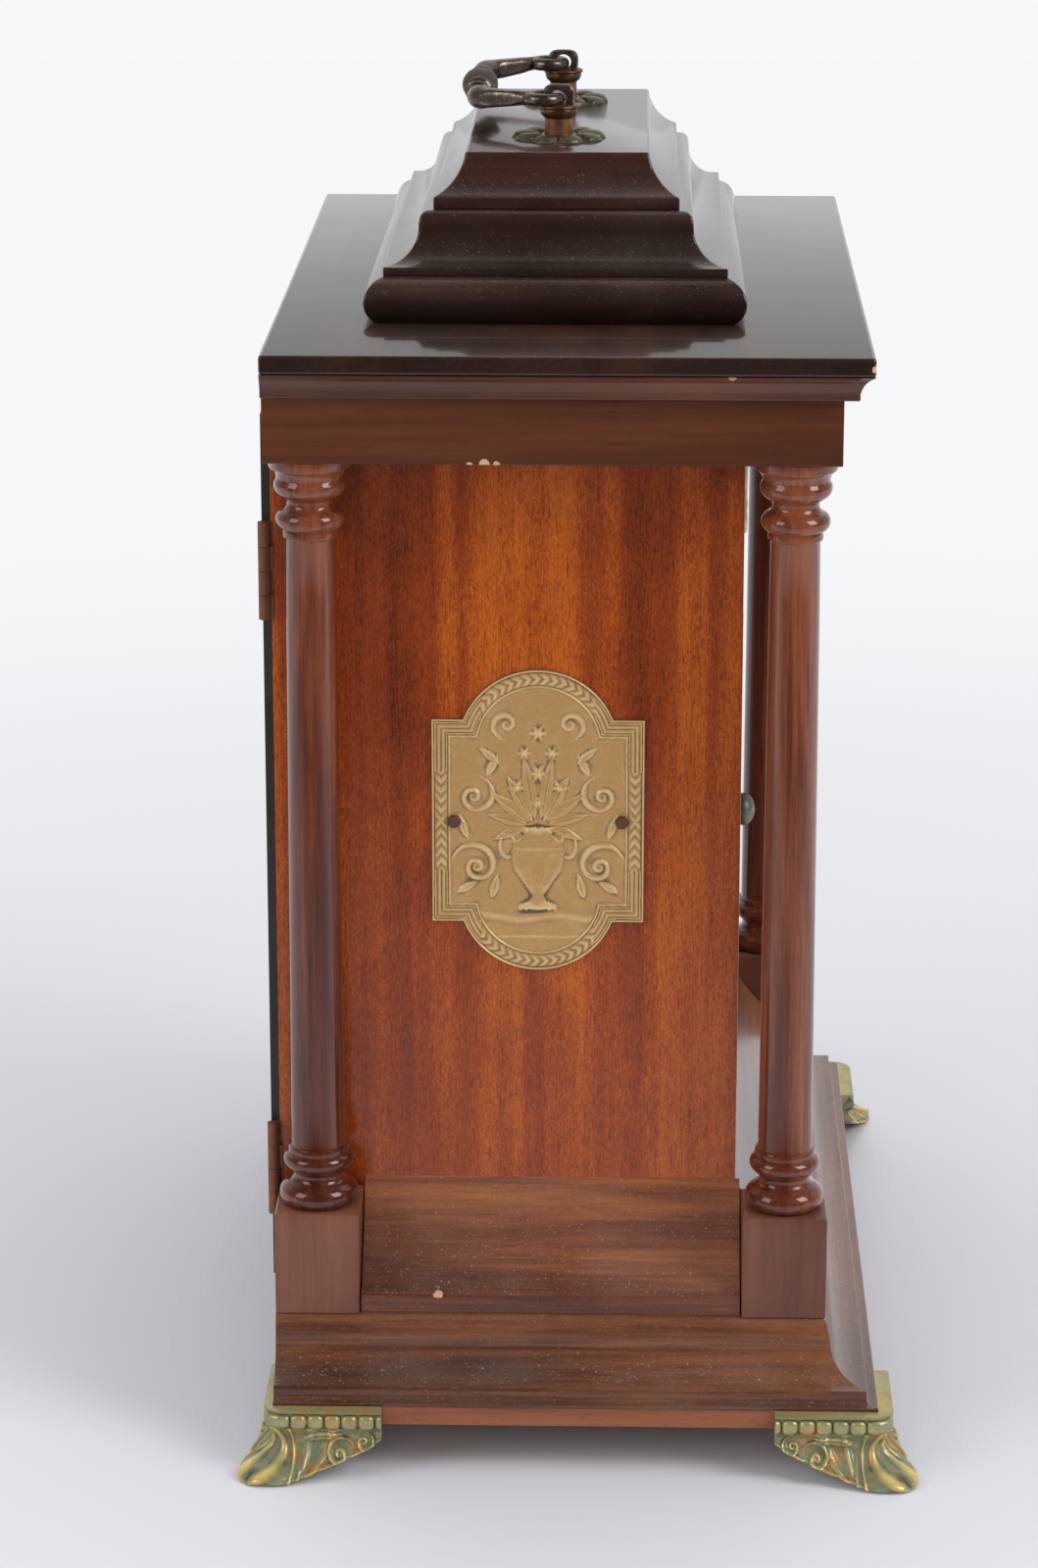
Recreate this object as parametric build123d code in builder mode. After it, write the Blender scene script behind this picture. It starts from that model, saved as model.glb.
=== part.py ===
from build123d import *
from math import cos, radians, sin, sqrt
import os

os.makedirs("parts", exist_ok=True)

# Chiming table clock with a hinged bail handle, a glazed front door and a hinged back door.
# Millimetres. X is the width, +Y the back, the dial looks towards -Y, and the feet stand on Z 0.
# Left is -X, as seen by someone who faces the dial.

# Driving dimensions of the case
body_width = 305.0
body_depth = 186.0
board_underside = 17.5
board_thickness = 6.5
base_height = 26.0
block_height = 36.0
block_size = 28.5
column_height = 258.0
frieze_height = 22.3
frieze_rail_width = 40.0
cornice_height = 8.4
cornice_projection = 9.5
top_thickness = 6.3
panel_thickness = 10.0
panel_setback = 30.0
front_setback = 30.5
joint_gap = 0.5

# Base moulding, measured outwards from the body
base_projection = 17.5
base_bar_width = 20.0
base_lip_height = 1.3
base_fillet_reach = 13.7
base_fillet_height = 3.0
base_cove_radius = 1.4
base_cavetto_radius = 12.0
board_inset = 0.5
board_back_inset = 2.5

# Sill mouldings between the plinth blocks
sill_height = 39.0
sill_reach = 28.0
sill_fillet = 6.6
sill_hollow = 3.0

# Cast corner feet
foot_leg = 30.0
foot_flange = 6.0
foot_toe = 8.5
foot_wall = 6.0
foot_shelf = 3.0
foot_screw_radius = 1.6
foot_screw_head = 3.2
foot_screw_length = 7.5

# Columns
column_top_radius = 7.9
column_foot_radius = 9.0
column_head_radius = 13.4
column_base_radius = 13.3
column_ring_radius = 11.9
column_torus_height = 7.6
column_neck_height = 10.0
column_ring_foot = 12.9
column_ring_height = 15.6
column_ring_top = 18.4
column_step_height = 20.6
column_shaft_foot = 21.0
column_collar_drop = 27.0
column_collar_height = 3.0
column_collar_swell = 0.9
column_low_ring_drop = 20.6
column_low_ring_top = 17.4
column_neck_drop = 15.4
column_cove_drop = 13.0
column_high_ring_drop = 9.6
column_high_ring_top = 7.2
column_flare_drop = 5.4
column_lip_drop = 3.8
column_cap_drop = 3.0

# Stepped top
caddy_height = 52.1
caddy_top_width = 154.0
caddy_top_depth = 60.2
caddy_step_one = 10.6
caddy_step_two = 26.5
caddy_roll = 32.6
caddy_roll_height = 15.1
caddy_tier_height = 19.6
caddy_fillet = 2.9

# Handle
handle_spacing = 90.0
handle_reach = 28.0
post_radius = 4.8
post_height = 8.0
collar_radius = 7.0
collar_height = 3.3
eye_width = 10.6
eye_thickness = 3.2
eye_height = 7.0
eye_hole_radius = 2.4
eye_hole_height = 13.4
ring_radius = 5.2
ring_wire = 1.6
bail_wire = 2.0
bail_corner = 9.0
bail_corner_spacing = 68.0
grip_drop = 1.5
grip_radius = 5.5
grip_length = 24.0
rosette_radius = 16.0
rosette_height = 3.0
rosette_petals = 9

# Side plaques
plaque_width = 71.0
plaque_shoulder_height = 70.4
plaque_height = 104.6
plaque_arch_width = 50.0
plaque_thickness = 2.0
plaque_center_z = 216.2
plaque_shift = 5.0
plaque_pin_spacing = 56.0
plaque_pin_radius = 0.8
plaque_pin_head = 2.3

# Back door and its hinges
back_door_thickness = 3.0
back_door_top_lap = 9.8
back_door_bottom_gap = 2.0
hinge_length = 33.0
hinge_barrel_radius = 2.0
hinge_pin_radius = 0.9
hinge_leaf = 0.9
hinge_leaf_width = 9.0
hinge_stand_off = 2.15
hinge_overhang = 1.5
hinge_top_z = 301.9
hinge_bottom_z = 91.9
hinge_knuckles = 4

# Front door, glass and furniture
door_thickness = 12.0
door_gap = 1.0
door_top_gap = 1.5
door_pin_radius = 1.2
door_pin_inset = 3.5
door_pin_depth = 2.5
door_pin_length = 16.0
opening_width = 168.0
opening_margin = 17.0
opening_shoulder = 172.0
opening_arch_radius = 48.0
opening_arch_drop = 2.0
glass_thickness = 2.0
glass_lip = 6.5
glass_rebate = 4.0
fret_thickness = 2.0
fret_size = 50.0
knob_radius = 6.3
knob_reach = 10.9
knob_height = 47.0

# Dial, hands and movement
dial_depth = 22.0
dial_thickness = 2.0
dial_margin = 5.0
chapter_outer = 78.0
chapter_inner = 56.0
chapter_thickness = 1.2
hour_pipe_radius = 3.2
arbor_radius = 2.0
hand_thickness = 1.0
hour_hand_length = 50.0
minute_hand_length = 72.0
hour_hand_angle = 304.0
minute_hand_angle = 48.0
movement_width = 130.0
movement_height = 140.0
movement_depth = 56.0
plate_thickness = 3.0
dial_foot_length = 6.0
pillar_radius = 4.0
barrel_radius = 19.0
barrel_length = 40.0
barrel_arbor_radius = 3.0
barrel_spread = 38.0
barrel_high_drop = 8.0
barrel_low_drop = 38.0
winding_hole_radius = 4.8
winding_square = 4.2
strap_height = 12.0
rod_radius = 1.5
rod_length = 150.0
rod_count = 5
rod_pitch = 8.0

# Clearances
running_clearance = 0.08
fixed_clearance = 0.02

# Places worked out from the sizes
half_width = body_width / 2
foot_reach = foot_flange + foot_toe
front_overhang = base_projection - board_inset + foot_reach
back_overhang = foot_reach - board_back_inset
middle_y = (front_overhang - back_overhang) / 2
front_face = middle_y - body_depth / 2
back_face = middle_y + body_depth / 2
board_half_width = half_width + base_projection - board_inset
board_front = front_face - base_projection + board_inset
board_back = back_face - board_back_inset
base_z = board_underside + board_thickness
base_top = base_z + base_height
block_top = base_top + block_height
frieze_z = block_top + column_height
cornice_z = frieze_z + frieze_height
top_z = cornice_z + cornice_height
caddy_z = top_z + top_thickness
handle_z = caddy_z + caddy_height
panel_outer = half_width - panel_setback
panel_inner = panel_outer - panel_thickness
door_front = front_face + front_setback
door_back = door_front + door_thickness
sill_top = base_top + sill_height
sill_rail_top = sill_top + joint_gap
column_x = half_width - block_size / 2
column_front_y = front_face + block_size / 2
column_back_y = back_face - block_size / 2
plaque_y = middle_y + plaque_shift
pin_axis_z = handle_z + eye_hole_height
door_half_width = panel_inner - door_gap
door_bottom = sill_rail_top + door_gap
door_top = frieze_z - door_top_gap
door_pin_x = -door_half_width + door_pin_inset
door_pin_y = door_front + door_pin_depth
opening_bottom = door_bottom + opening_margin
opening_shoulder_z = opening_bottom + opening_shoulder
opening_arch_z = opening_shoulder_z - opening_arch_drop
dial_z = opening_bottom + opening_shoulder / 2
dial_front = door_front + door_thickness + dial_depth - glass_lip
dial_back = dial_front + dial_thickness
movement_front = dial_back + dial_foot_length
movement_back = movement_front + movement_depth
hinge_x = -(panel_outer + hinge_overhang)
hinge_y = back_face + hinge_stand_off

sides = (("left", -1), ("right", 1))
corners = [
    (f"{depth}_{width}", along, across)
    for depth, across in (("front", -1), ("back", 1))
    for width, along in sides
]


# Three mitred bars that run round the front and both sides of the case
def side_bar(section, side):
    """Bar along one side: mitred at the front corner and cut flush with the back."""
    outward = Plane(
        origin=(side * half_width, back_face, 0), x_dir=(side, 0, 0), z_dir=(0, -side, 0)
    )
    mitre = Plane(origin=(side * half_width, front_face, 0), z_dir=(side, 1, 0))
    with BuildPart() as bar:
        extrude(section(outward), amount=side * (body_depth + base_projection))
        split(bisect_by=mitre, keep=Keep.TOP)
    return bar


def front_bar(section):
    """Bar along the front, mitred at both ends."""
    end_x = half_width + base_projection
    outward = Plane(origin=(end_x, front_face, 0), x_dir=(0, -1, 0), z_dir=(-1, 0, 0))
    with BuildPart() as bar:
        extrude(section(outward), amount=2 * end_x)
        for side in (-1, 1):
            mitre = Plane(origin=(side * half_width, front_face, 0), z_dir=(side, 1, 0))
            split(bisect_by=mitre, keep=Keep.BOTTOM)
    return bar


# Base: board, solid core, moulding
def base_section(plane):
    """Lip, small cove, fillet, large cavetto and a softened top edge."""
    lip_z = base_z + base_lip_height
    fillet_z = lip_z + base_cove_radius
    cavetto_z = fillet_z + base_fillet_height
    cavetto_top = cavetto_z + base_cavetto_radius
    edge = base_cove_radius
    with BuildSketch(plane) as section:
        with BuildLine():
            Polyline(
                (-base_bar_width, base_z),
                (base_projection, base_z),
                (base_projection, lip_z),
                (base_fillet_reach + base_cove_radius, lip_z),
            )
            CenterArc((base_fillet_reach + base_cove_radius, fillet_z), base_cove_radius, 270, -90)
            Line((base_fillet_reach, fillet_z), (base_fillet_reach, cavetto_z))
            CenterArc((base_fillet_reach, cavetto_top), base_cavetto_radius, 270, -90)
            Polyline(
                (base_fillet_reach - base_cavetto_radius, cavetto_top),
                (0, base_top - edge),
                (-edge / 2, base_top),
                (-base_bar_width, base_top),
                (-base_bar_width, base_z),
            )
        make_face()
    return section.sketch


for side_name, side in sides:
    moulding = side_bar(base_section, side)
    moulding.part.label = f"base_moulding_{side_name}"
    export_step(moulding.part, f"parts/base_moulding_{side_name}.step")

moulding = front_bar(base_section)
moulding.part.label = "base_moulding_front"
export_step(moulding.part, "parts/base_moulding_front.step")

foot_screws_at = [
    (
        along * (board_half_width - near),
        (board_front + far) if across < 0 else (board_back - far),
    )
    for _, along, across in corners
    for near, far in ((foot_leg / 3, foot_leg * 2 / 3), (foot_leg * 2 / 3, foot_leg / 3))
]

with BuildPart() as base_board:
    with BuildSketch(Plane.XY.offset(board_underside)):
        with Locations((0, (board_front + board_back) / 2)):
            Rectangle(2 * board_half_width, board_back - board_front)
    extrude(amount=board_thickness)
    with BuildSketch(Plane.XY.offset(board_underside)):
        with Locations(*foot_screws_at):
            Circle(foot_screw_radius + fixed_clearance)
    extrude(amount=foot_screw_length - foot_shelf, mode=Mode.SUBTRACT)
base_board.part.label = "base_board"
export_step(base_board.part, "parts/base_board.step")

with BuildPart() as plinth_core:
    with BuildSketch(Plane.XY.offset(base_z)):
        with Locations((0, middle_y + base_bar_width / 2)):
            Rectangle(body_width - 2 * base_bar_width, body_depth - base_bar_width)
    extrude(amount=base_height)
plinth_core.part.label = "plinth_core"
export_step(plinth_core.part, "parts/plinth_core.step")


# Feet: a corner flange round the board, a shelf below it and a toe that curls outwards
def foot_outline(plane):
    """Side view of a foot: local X outwards from the edge of the board, local Y up."""
    tip = foot_reach
    with BuildSketch(plane) as outline:
        with BuildLine():
            Polyline(
                (foot_flange, base_z),
                (-foot_leg, base_z),
                (-foot_leg, board_underside - foot_shelf),
            )
            ThreePointArc(
                (-foot_leg, board_underside - foot_shelf),
                (-foot_leg / 2, board_underside / 4),
                (tip / 4, 0),
            )
            Line((tip / 4, 0), (tip * 0.8, 0))
            ThreePointArc(
                (tip * 0.8, 0),
                (tip, board_underside / 5),
                (tip * 0.85, board_underside * 0.45),
            )
            ThreePointArc(
                (tip * 0.85, board_underside * 0.45),
                (foot_flange * 1.1, board_underside * 0.7),
                (foot_flange, board_underside),
            )
            Line((foot_flange, board_underside), (foot_flange, base_z))
        make_face()
    return outline.sketch


for corner, along, across in corners:
    edge_x = along * board_half_width
    edge_y = board_front if across < 0 else board_back
    span = foot_leg + foot_reach
    inner_x = edge_x - along * foot_leg
    inner_y = edge_y - across * foot_leg
    seen_from_side = Plane(
        origin=(edge_x + along * foot_reach, edge_y, 0),
        x_dir=(0, across, 0),
        z_dir=(across, 0, 0),
    )
    seen_from_front = Plane(
        origin=(edge_x, edge_y + across * foot_reach, 0),
        x_dir=(along, 0, 0),
        z_dir=(0, -along, 0),
    )
    with BuildPart() as foot:
        extrude(foot_outline(seen_from_side), amount=-along * across * span)
        extrude(
            foot_outline(seen_from_front), amount=along * across * span, mode=Mode.INTERSECT
        )
        with BuildSketch():
            with Locations((inner_x + along * span / 2, inner_y + across * span / 2)):
                rounded = Rectangle(span, span)
            outer = rounded.vertices().sort_by_distance((edge_x + along * span, edge_y + across * span))
            fillet(outer[0], foot_reach)
        extrude(amount=base_z, mode=Mode.INTERSECT)
        with BuildSketch(Plane.XY.offset(board_underside)):
            with Locations((edge_x - along * span / 2, edge_y - across * span / 2)):
                Rectangle(span, span)
        extrude(amount=board_thickness, mode=Mode.SUBTRACT)
        with BuildSketch():
            hollow = foot_leg - foot_wall
            with Locations((inner_x + along * hollow / 2, inner_y + across * hollow / 2)):
                Rectangle(hollow, hollow)
        extrude(amount=board_underside - foot_shelf, mode=Mode.SUBTRACT)
        with BuildSketch(Plane.XY.offset(board_underside - foot_shelf)):
            with Locations(*foot_screws_at):
                Circle(foot_screw_radius + fixed_clearance)
        extrude(amount=foot_shelf, mode=Mode.SUBTRACT)
    foot.part.label = f"foot_{corner}"
    export_step(foot.part, f"parts/foot_{corner}.step")

with BuildPart() as foot_screws:
    with BuildSketch(Plane.XY.offset(board_underside - foot_shelf)):
        with Locations(*foot_screws_at):
            Circle(foot_screw_radius)
    extrude(amount=foot_screw_length)
    with BuildSketch(Plane.XY.offset(board_underside - foot_shelf)):
        with Locations(*foot_screws_at):
            Circle(foot_screw_head)
    extrude(amount=-foot_screw_radius)
foot_screws.part.label = "foot_screws"
export_step(foot_screws.part, "parts/foot_screws.step")

# Plinth blocks below the columns
for corner, along, across in corners:
    center_y = column_front_y if across < 0 else column_back_y
    with BuildPart() as block:
        with BuildSketch(Plane.XY.offset(base_top)):
            with Locations((along * column_x, center_y)):
                Rectangle(block_size, block_size)
        extrude(amount=block_height)
        chamfer(block.edges().group_by(Axis.Z)[-1], joint_gap)
    block.part.label = f"plinth_block_{corner}"
    export_step(block.part, f"parts/plinth_block_{corner}.step")


# Sill mouldings between the blocks
def sill_section(plane):
    """Hollow slope over a low fillet."""
    middle_x = sill_reach / 2
    middle_z = base_top + (sill_fillet + sill_height) / 2
    slope = sqrt(sill_reach**2 + (sill_height - sill_fillet) ** 2)
    sunk_x = middle_x - sill_hollow * (sill_height - sill_fillet) / slope
    sunk_z = middle_z - sill_hollow * sill_reach / slope
    with BuildSketch(plane) as section:
        with BuildLine():
            Polyline((0, sill_top), (0, base_top), (sill_reach, base_top))
            Line((sill_reach, base_top), (sill_reach, base_top + sill_fillet))
            ThreePointArc((sill_reach, base_top + sill_fillet), (sunk_x, sunk_z), (0, sill_top))
        make_face()
    return section.sketch


side_sill_length = body_depth - 2 * (block_size + joint_gap)
for side_name, side in sides:
    plane = Plane(
        origin=(side * panel_outer, middle_y, 0), x_dir=(side, 0, 0), z_dir=(0, -side, 0)
    )
    with BuildPart() as sill:
        extrude(sill_section(plane), amount=side_sill_length / 2, both=True)
    sill.part.label = f"sill_{side_name}"
    export_step(sill.part, f"parts/sill_{side_name}.step")

with BuildPart() as sill:
    plane = Plane(origin=(0, door_front, 0), x_dir=(0, -1, 0), z_dir=(-1, 0, 0))
    extrude(sill_section(plane), amount=panel_outer, both=True)
    with BuildSketch(Plane.XY.offset(base_top)):
        with Locations((0, (door_front + door_back) / 2)):
            Rectangle(2 * panel_inner, door_thickness)
    extrude(amount=sill_rail_top - base_top)
    with BuildSketch(Plane.XY.offset(sill_rail_top)):
        with Locations((door_pin_x, door_pin_y)):
            Circle(door_pin_radius + fixed_clearance)
    extrude(amount=-door_pin_length / 2, mode=Mode.SUBTRACT)
sill.part.label = "sill_front"
export_step(sill.part, "parts/sill_front.step")


# Turned columns
def column_half(plane):
    """Half outline: torus, neck and ring at the foot, tapered shaft, two rings and a flared head."""
    base = column_base_radius
    ring = column_ring_radius
    head = column_head_radius
    foot = column_foot_radius
    shaft = column_top_radius
    collar = shaft + column_collar_swell
    top = column_height
    torus_end = (0.83 * base, column_torus_height)
    ring_start = (0.87 * ring, column_ring_foot)
    ring_end = (0.85 * ring, column_ring_top)
    collar_foot = top - column_collar_drop
    collar_end = (collar, collar_foot + column_collar_height)
    neck_start = (1.04 * shaft, top - column_low_ring_top)
    neck_end = (0.72 * head, top - column_cove_drop)
    flare_start = (0.82 * head, top - column_high_ring_top)
    flare_end = (0.96 * head, top - column_lip_drop)
    with BuildSketch(plane) as outline:
        with BuildLine():
            Line((0, 0), (0.85 * base, 0))
            ThreePointArc((0.85 * base, 0), (base, column_torus_height / 2), torus_end)
            ThreePointArc(torus_end, (0.95 * foot, column_neck_height), ring_start)
            ThreePointArc(ring_start, (ring, column_ring_height), ring_end)
            Polyline(ring_end, (1.1 * foot, column_step_height), (foot, column_shaft_foot))
            Polyline((foot, column_shaft_foot), (shaft, collar_foot), (collar, collar_foot), collar_end)
            ThreePointArc(collar_end, (0.95 * ring, top - column_low_ring_drop), neck_start)
            ThreePointArc(neck_start, (0.93 * shaft, top - column_neck_drop), neck_end)
            ThreePointArc(neck_end, (0.88 * head, top - column_high_ring_drop), flare_start)
            ThreePointArc(flare_start, (0.86 * head, top - column_flare_drop), flare_end)
            Polyline(flare_end, (head, top - column_cap_drop), (head, top), (0, top), (0, 0))
        make_face()
    return outline.sketch


for corner, along, across in corners:
    center_y = column_front_y if across < 0 else column_back_y
    axis_plane = Plane(origin=(along * column_x, center_y, block_top), z_dir=(0, -1, 0), x_dir=(1, 0, 0))
    with BuildPart() as column:
        revolve(column_half(axis_plane), axis=Axis(axis_plane.origin, (0, 0, 1)))
    column.part.label = f"column_{corner}"
    export_step(column.part, f"parts/column_{corner}.step")

# Side panels, with blind holes for the plaque pins and a recess for the back hinge leaves
hinge_centers = (hinge_bottom_z, hinge_top_z)
pin_offsets = (-plaque_pin_spacing / 2, plaque_pin_spacing / 2)

for side_name, side in sides:
    outer_face = Plane(
        origin=(side * panel_outer, plaque_y, plaque_center_z), x_dir=(0, side, 0), z_dir=(side, 0, 0)
    )
    with BuildPart() as panel:
        with BuildSketch(Plane.XY.offset(base_top)):
            with Locations((side * (panel_outer - panel_thickness / 2), (door_front + back_face) / 2)):
                Rectangle(panel_thickness, back_face - door_front)
        extrude(amount=frieze_z - base_top)
        with BuildSketch(outer_face):
            with Locations(*[(offset, 0) for offset in pin_offsets]):
                Circle(plaque_pin_radius + fixed_clearance)
        extrude(amount=-panel_thickness / 2, mode=Mode.SUBTRACT)
        if side < 0:
            with BuildSketch(Plane.XZ.offset(-back_face)):
                for center_z in hinge_centers:
                    with Locations((-panel_outer + hinge_leaf_width / 2, center_z)):
                        Rectangle(hinge_leaf_width, hinge_length)
            extrude(amount=hinge_leaf, mode=Mode.SUBTRACT)
    panel.part.label = f"side_panel_{side_name}"
    export_step(panel.part, f"parts/side_panel_{side_name}.step")

# Frieze: four flat rails mitred together over the columns and panels
rail_inner_x = half_width - frieze_rail_width
rail_front = front_face + frieze_rail_width
rail_back = back_face - frieze_rail_width

for side_name, side in sides:
    with BuildPart() as rail:
        with BuildSketch(Plane.XY.offset(frieze_z)):
            with BuildLine():
                Polyline(
                    (side * half_width, front_face),
                    (side * half_width, back_face),
                    (side * rail_inner_x, rail_back),
                    (side * rail_inner_x, rail_front),
                    close=True,
                )
            make_face()
        extrude(amount=frieze_height)
    rail.part.label = f"frieze_{side_name}"
    export_step(rail.part, f"parts/frieze_{side_name}.step")

with BuildPart() as rail:
    with BuildSketch(Plane.XY.offset(frieze_z)):
        with BuildLine():
            Polyline(
                (-half_width, front_face),
                (half_width, front_face),
                (rail_inner_x, rail_front),
                (-rail_inner_x, rail_front),
                close=True,
            )
        make_face()
    extrude(amount=frieze_height)
    with BuildSketch(Plane.XY.offset(frieze_z)):
        with Locations((door_pin_x, door_pin_y)):
            Circle(door_pin_radius + fixed_clearance)
    extrude(amount=door_pin_length / 2, mode=Mode.SUBTRACT)
rail.part.label = "frieze_front"
export_step(rail.part, "parts/frieze_front.step")

with BuildPart() as rail:
    with BuildSketch(Plane.XY.offset(frieze_z)):
        with BuildLine():
            Polyline(
                (-half_width, back_face),
                (half_width, back_face),
                (rail_inner_x, rail_back),
                (-rail_inner_x, rail_back),
                close=True,
            )
        make_face()
    extrude(amount=frieze_height)
    with BuildSketch(Plane.XY.offset(cornice_z)):
        with Locations((0, back_face - panel_thickness / 2)):
            Rectangle(2 * rail_inner_x, panel_thickness)
    extrude(amount=cornice_height)
rail.part.label = "frieze_back"
export_step(rail.part, "parts/frieze_back.step")


# Cornice moulding and top board
def cornice_section(plane):
    """Flat fillet below a small cavetto that runs out to the edge of the top board."""
    step = cornice_projection / 2
    step_z = cornice_z + cornice_height / 3
    sunk = (step + 0.12 * cornice_projection, step_z + 0.28 * cornice_height)
    with BuildSketch(plane) as section:
        with BuildLine():
            Polyline((-frieze_rail_width, top_z), (-frieze_rail_width, cornice_z), (step, cornice_z))
            Line((step, cornice_z), (step, step_z))
            ThreePointArc((step, step_z), sunk, (cornice_projection, top_z))
            Line((cornice_projection, top_z), (-frieze_rail_width, top_z))
        make_face()
    return section.sketch


for side_name, side in sides:
    moulding = side_bar(cornice_section, side)
    moulding.part.label = f"cornice_{side_name}"
    export_step(moulding.part, f"parts/cornice_{side_name}.step")

moulding = front_bar(cornice_section)
moulding.part.label = "cornice_front"
export_step(moulding.part, "parts/cornice_front.step")

with BuildPart() as top_board:
    with BuildSketch(Plane.XY.offset(top_z)):
        with Locations((0, middle_y - cornice_projection / 2)):
            Rectangle(body_width + 2 * cornice_projection, body_depth + cornice_projection)
    extrude(amount=top_thickness)
    chamfer(top_board.edges().group_by(Axis.Z)[-1], joint_gap)
top_board.part.label = "top_board"
export_step(top_board.part, "parts/top_board.step")


# Stepped top: each tier is one moulding profile seen from the front and from the side
def upper_tier(half_top):
    """Hollow edge above a fillet."""
    foot_z = caddy_roll_height + caddy_tier_height
    hollow_z = foot_z + caddy_fillet + 1
    reach = half_top + caddy_step_one
    sunk = (half_top + 0.4 * caddy_step_one, hollow_z + 0.32 * (caddy_height - hollow_z))
    with BuildLine() as edge:
        Line((reach, foot_z), (reach, hollow_z))
        ThreePointArc((reach, hollow_z), sunk, (half_top, caddy_height))
    return edge.line


def middle_tier(half_top):
    """Rounded top edge, hollow face and a fillet."""
    foot_z = caddy_roll_height
    head_z = foot_z + caddy_tier_height
    hollow_z = foot_z + caddy_fillet
    reach = half_top + caddy_step_two
    neck = half_top + 0.57 * caddy_step_two
    round_z = head_z - 0.17 * caddy_tier_height
    hollow_top = round_z - 0.12 * caddy_tier_height
    sunk = (neck + 0.22 * (reach - neck), hollow_z + 0.38 * (hollow_top - hollow_z))
    shoulder = (neck - 0.15 * (neck - half_top - caddy_step_one), round_z + 0.6 * (head_z - round_z))
    with BuildLine() as edge:
        Line((reach, foot_z), (reach, hollow_z))
        ThreePointArc((reach, hollow_z), sunk, (neck, hollow_top))
        Line((neck, hollow_top), (neck, round_z))
        ThreePointArc((neck, round_z), shoulder, (half_top + caddy_step_one, head_z))
    return edge.line


def lower_tier(half_top):
    """Large roll."""
    reach = half_top + caddy_roll
    shelf = half_top + caddy_step_two
    with BuildLine() as edge:
        ThreePointArc(
            (reach - 0.1 * caddy_roll, 0), (reach, 0.55 * caddy_roll_height), (shelf, caddy_roll_height)
        )
    return edge.line


for tier_name, outline in (("lower", lower_tier), ("middle", middle_tier), ("upper", upper_tier)):
    across_x = Plane(origin=(0, middle_y, caddy_z), x_dir=(1, 0, 0), z_dir=(0, -1, 0))
    across_y = Plane(origin=(0, middle_y, caddy_z), x_dir=(0, 1, 0), z_dir=(1, 0, 0))
    with BuildPart() as tier:
        for plane, half_top, mode in (
            (across_x, caddy_top_width / 2, Mode.ADD),
            (across_y, caddy_top_depth / 2, Mode.INTERSECT),
        ):
            with BuildSketch(plane):
                with BuildLine() as right_edge:
                    add(outline(half_top))
                    bottom = right_edge.vertices().sort_by(Axis.Y)[0]
                    top = right_edge.vertices().sort_by(Axis.Y)[-1]
                    Polyline((top.X, top.Y), (0, top.Y), (0, bottom.Y), (bottom.X, bottom.Y))
                make_face()
                mirror(about=Plane.YZ)
            extrude(amount=body_width, both=True, mode=mode)
    tier.part.label = f"caddy_{tier_name}"
    export_step(tier.part, f"parts/caddy_{tier_name}.step")

# Handle: rosettes, posts with eyes, and the bail
for side_name, side in sides:
    post_x = side * handle_spacing / 2
    with BuildPart() as rosette:
        with BuildSketch(Plane.XY.offset(handle_z)):
            with Locations((post_x, middle_y)):
                Circle(rosette_radius * 0.75)
                with PolarLocations(rosette_radius * 0.72, rosette_petals):
                    Circle(rosette_radius * 0.28)
        extrude(amount=rosette_height / 2)
        with BuildSketch(Plane.XY.offset(handle_z + rosette_height / 2)):
            with Locations((post_x, middle_y)):
                Circle(rosette_radius * 0.62)
        extrude(amount=rosette_height / 2, taper=35)
        with BuildSketch(Plane.XY.offset(handle_z)):
            with Locations((post_x, middle_y)):
                Circle(post_radius + fixed_clearance)
        extrude(amount=rosette_height, mode=Mode.SUBTRACT)
    rosette.part.label = f"rosette_{side_name}"
    export_step(rosette.part, f"parts/rosette_{side_name}.step")

    eye_plane = Plane(
        origin=(post_x, middle_y, handle_z + eye_hole_height), x_dir=(0, 1, 0), z_dir=(1, 0, 0)
    )
    collar_top = post_height + collar_height
    eye_top = collar_top + eye_height
    with BuildPart() as post:
        with BuildSketch(Plane.XY.offset(handle_z)):
            with Locations((post_x, middle_y)):
                Circle(post_radius)
        extrude(amount=post_height)
        with BuildSketch(Plane.XY.offset(handle_z + post_height)):
            with Locations((post_x, middle_y)):
                Circle(collar_radius)
        extrude(amount=collar_height)
        fillet(post.edges().filter_by(GeomType.CIRCLE).sort_by(SortBy.RADIUS)[-2:], collar_height / 4)
        with BuildSketch(eye_plane):
            with Locations((0, (collar_top + eye_top) / 2 - eye_hole_height)):
                RectangleRounded(eye_width, eye_height, eye_height / 3)
            with Locations((0, collar_top + eye_height / 4 - eye_hole_height)):
                Rectangle(eye_width, eye_height / 2)
            Circle(eye_hole_radius, mode=Mode.SUBTRACT)
        extrude(amount=eye_thickness / 2, both=True)
    post.part.label = f"handle_post_{side_name}"
    export_step(post.part, f"parts/handle_post_{side_name}.step")

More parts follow.
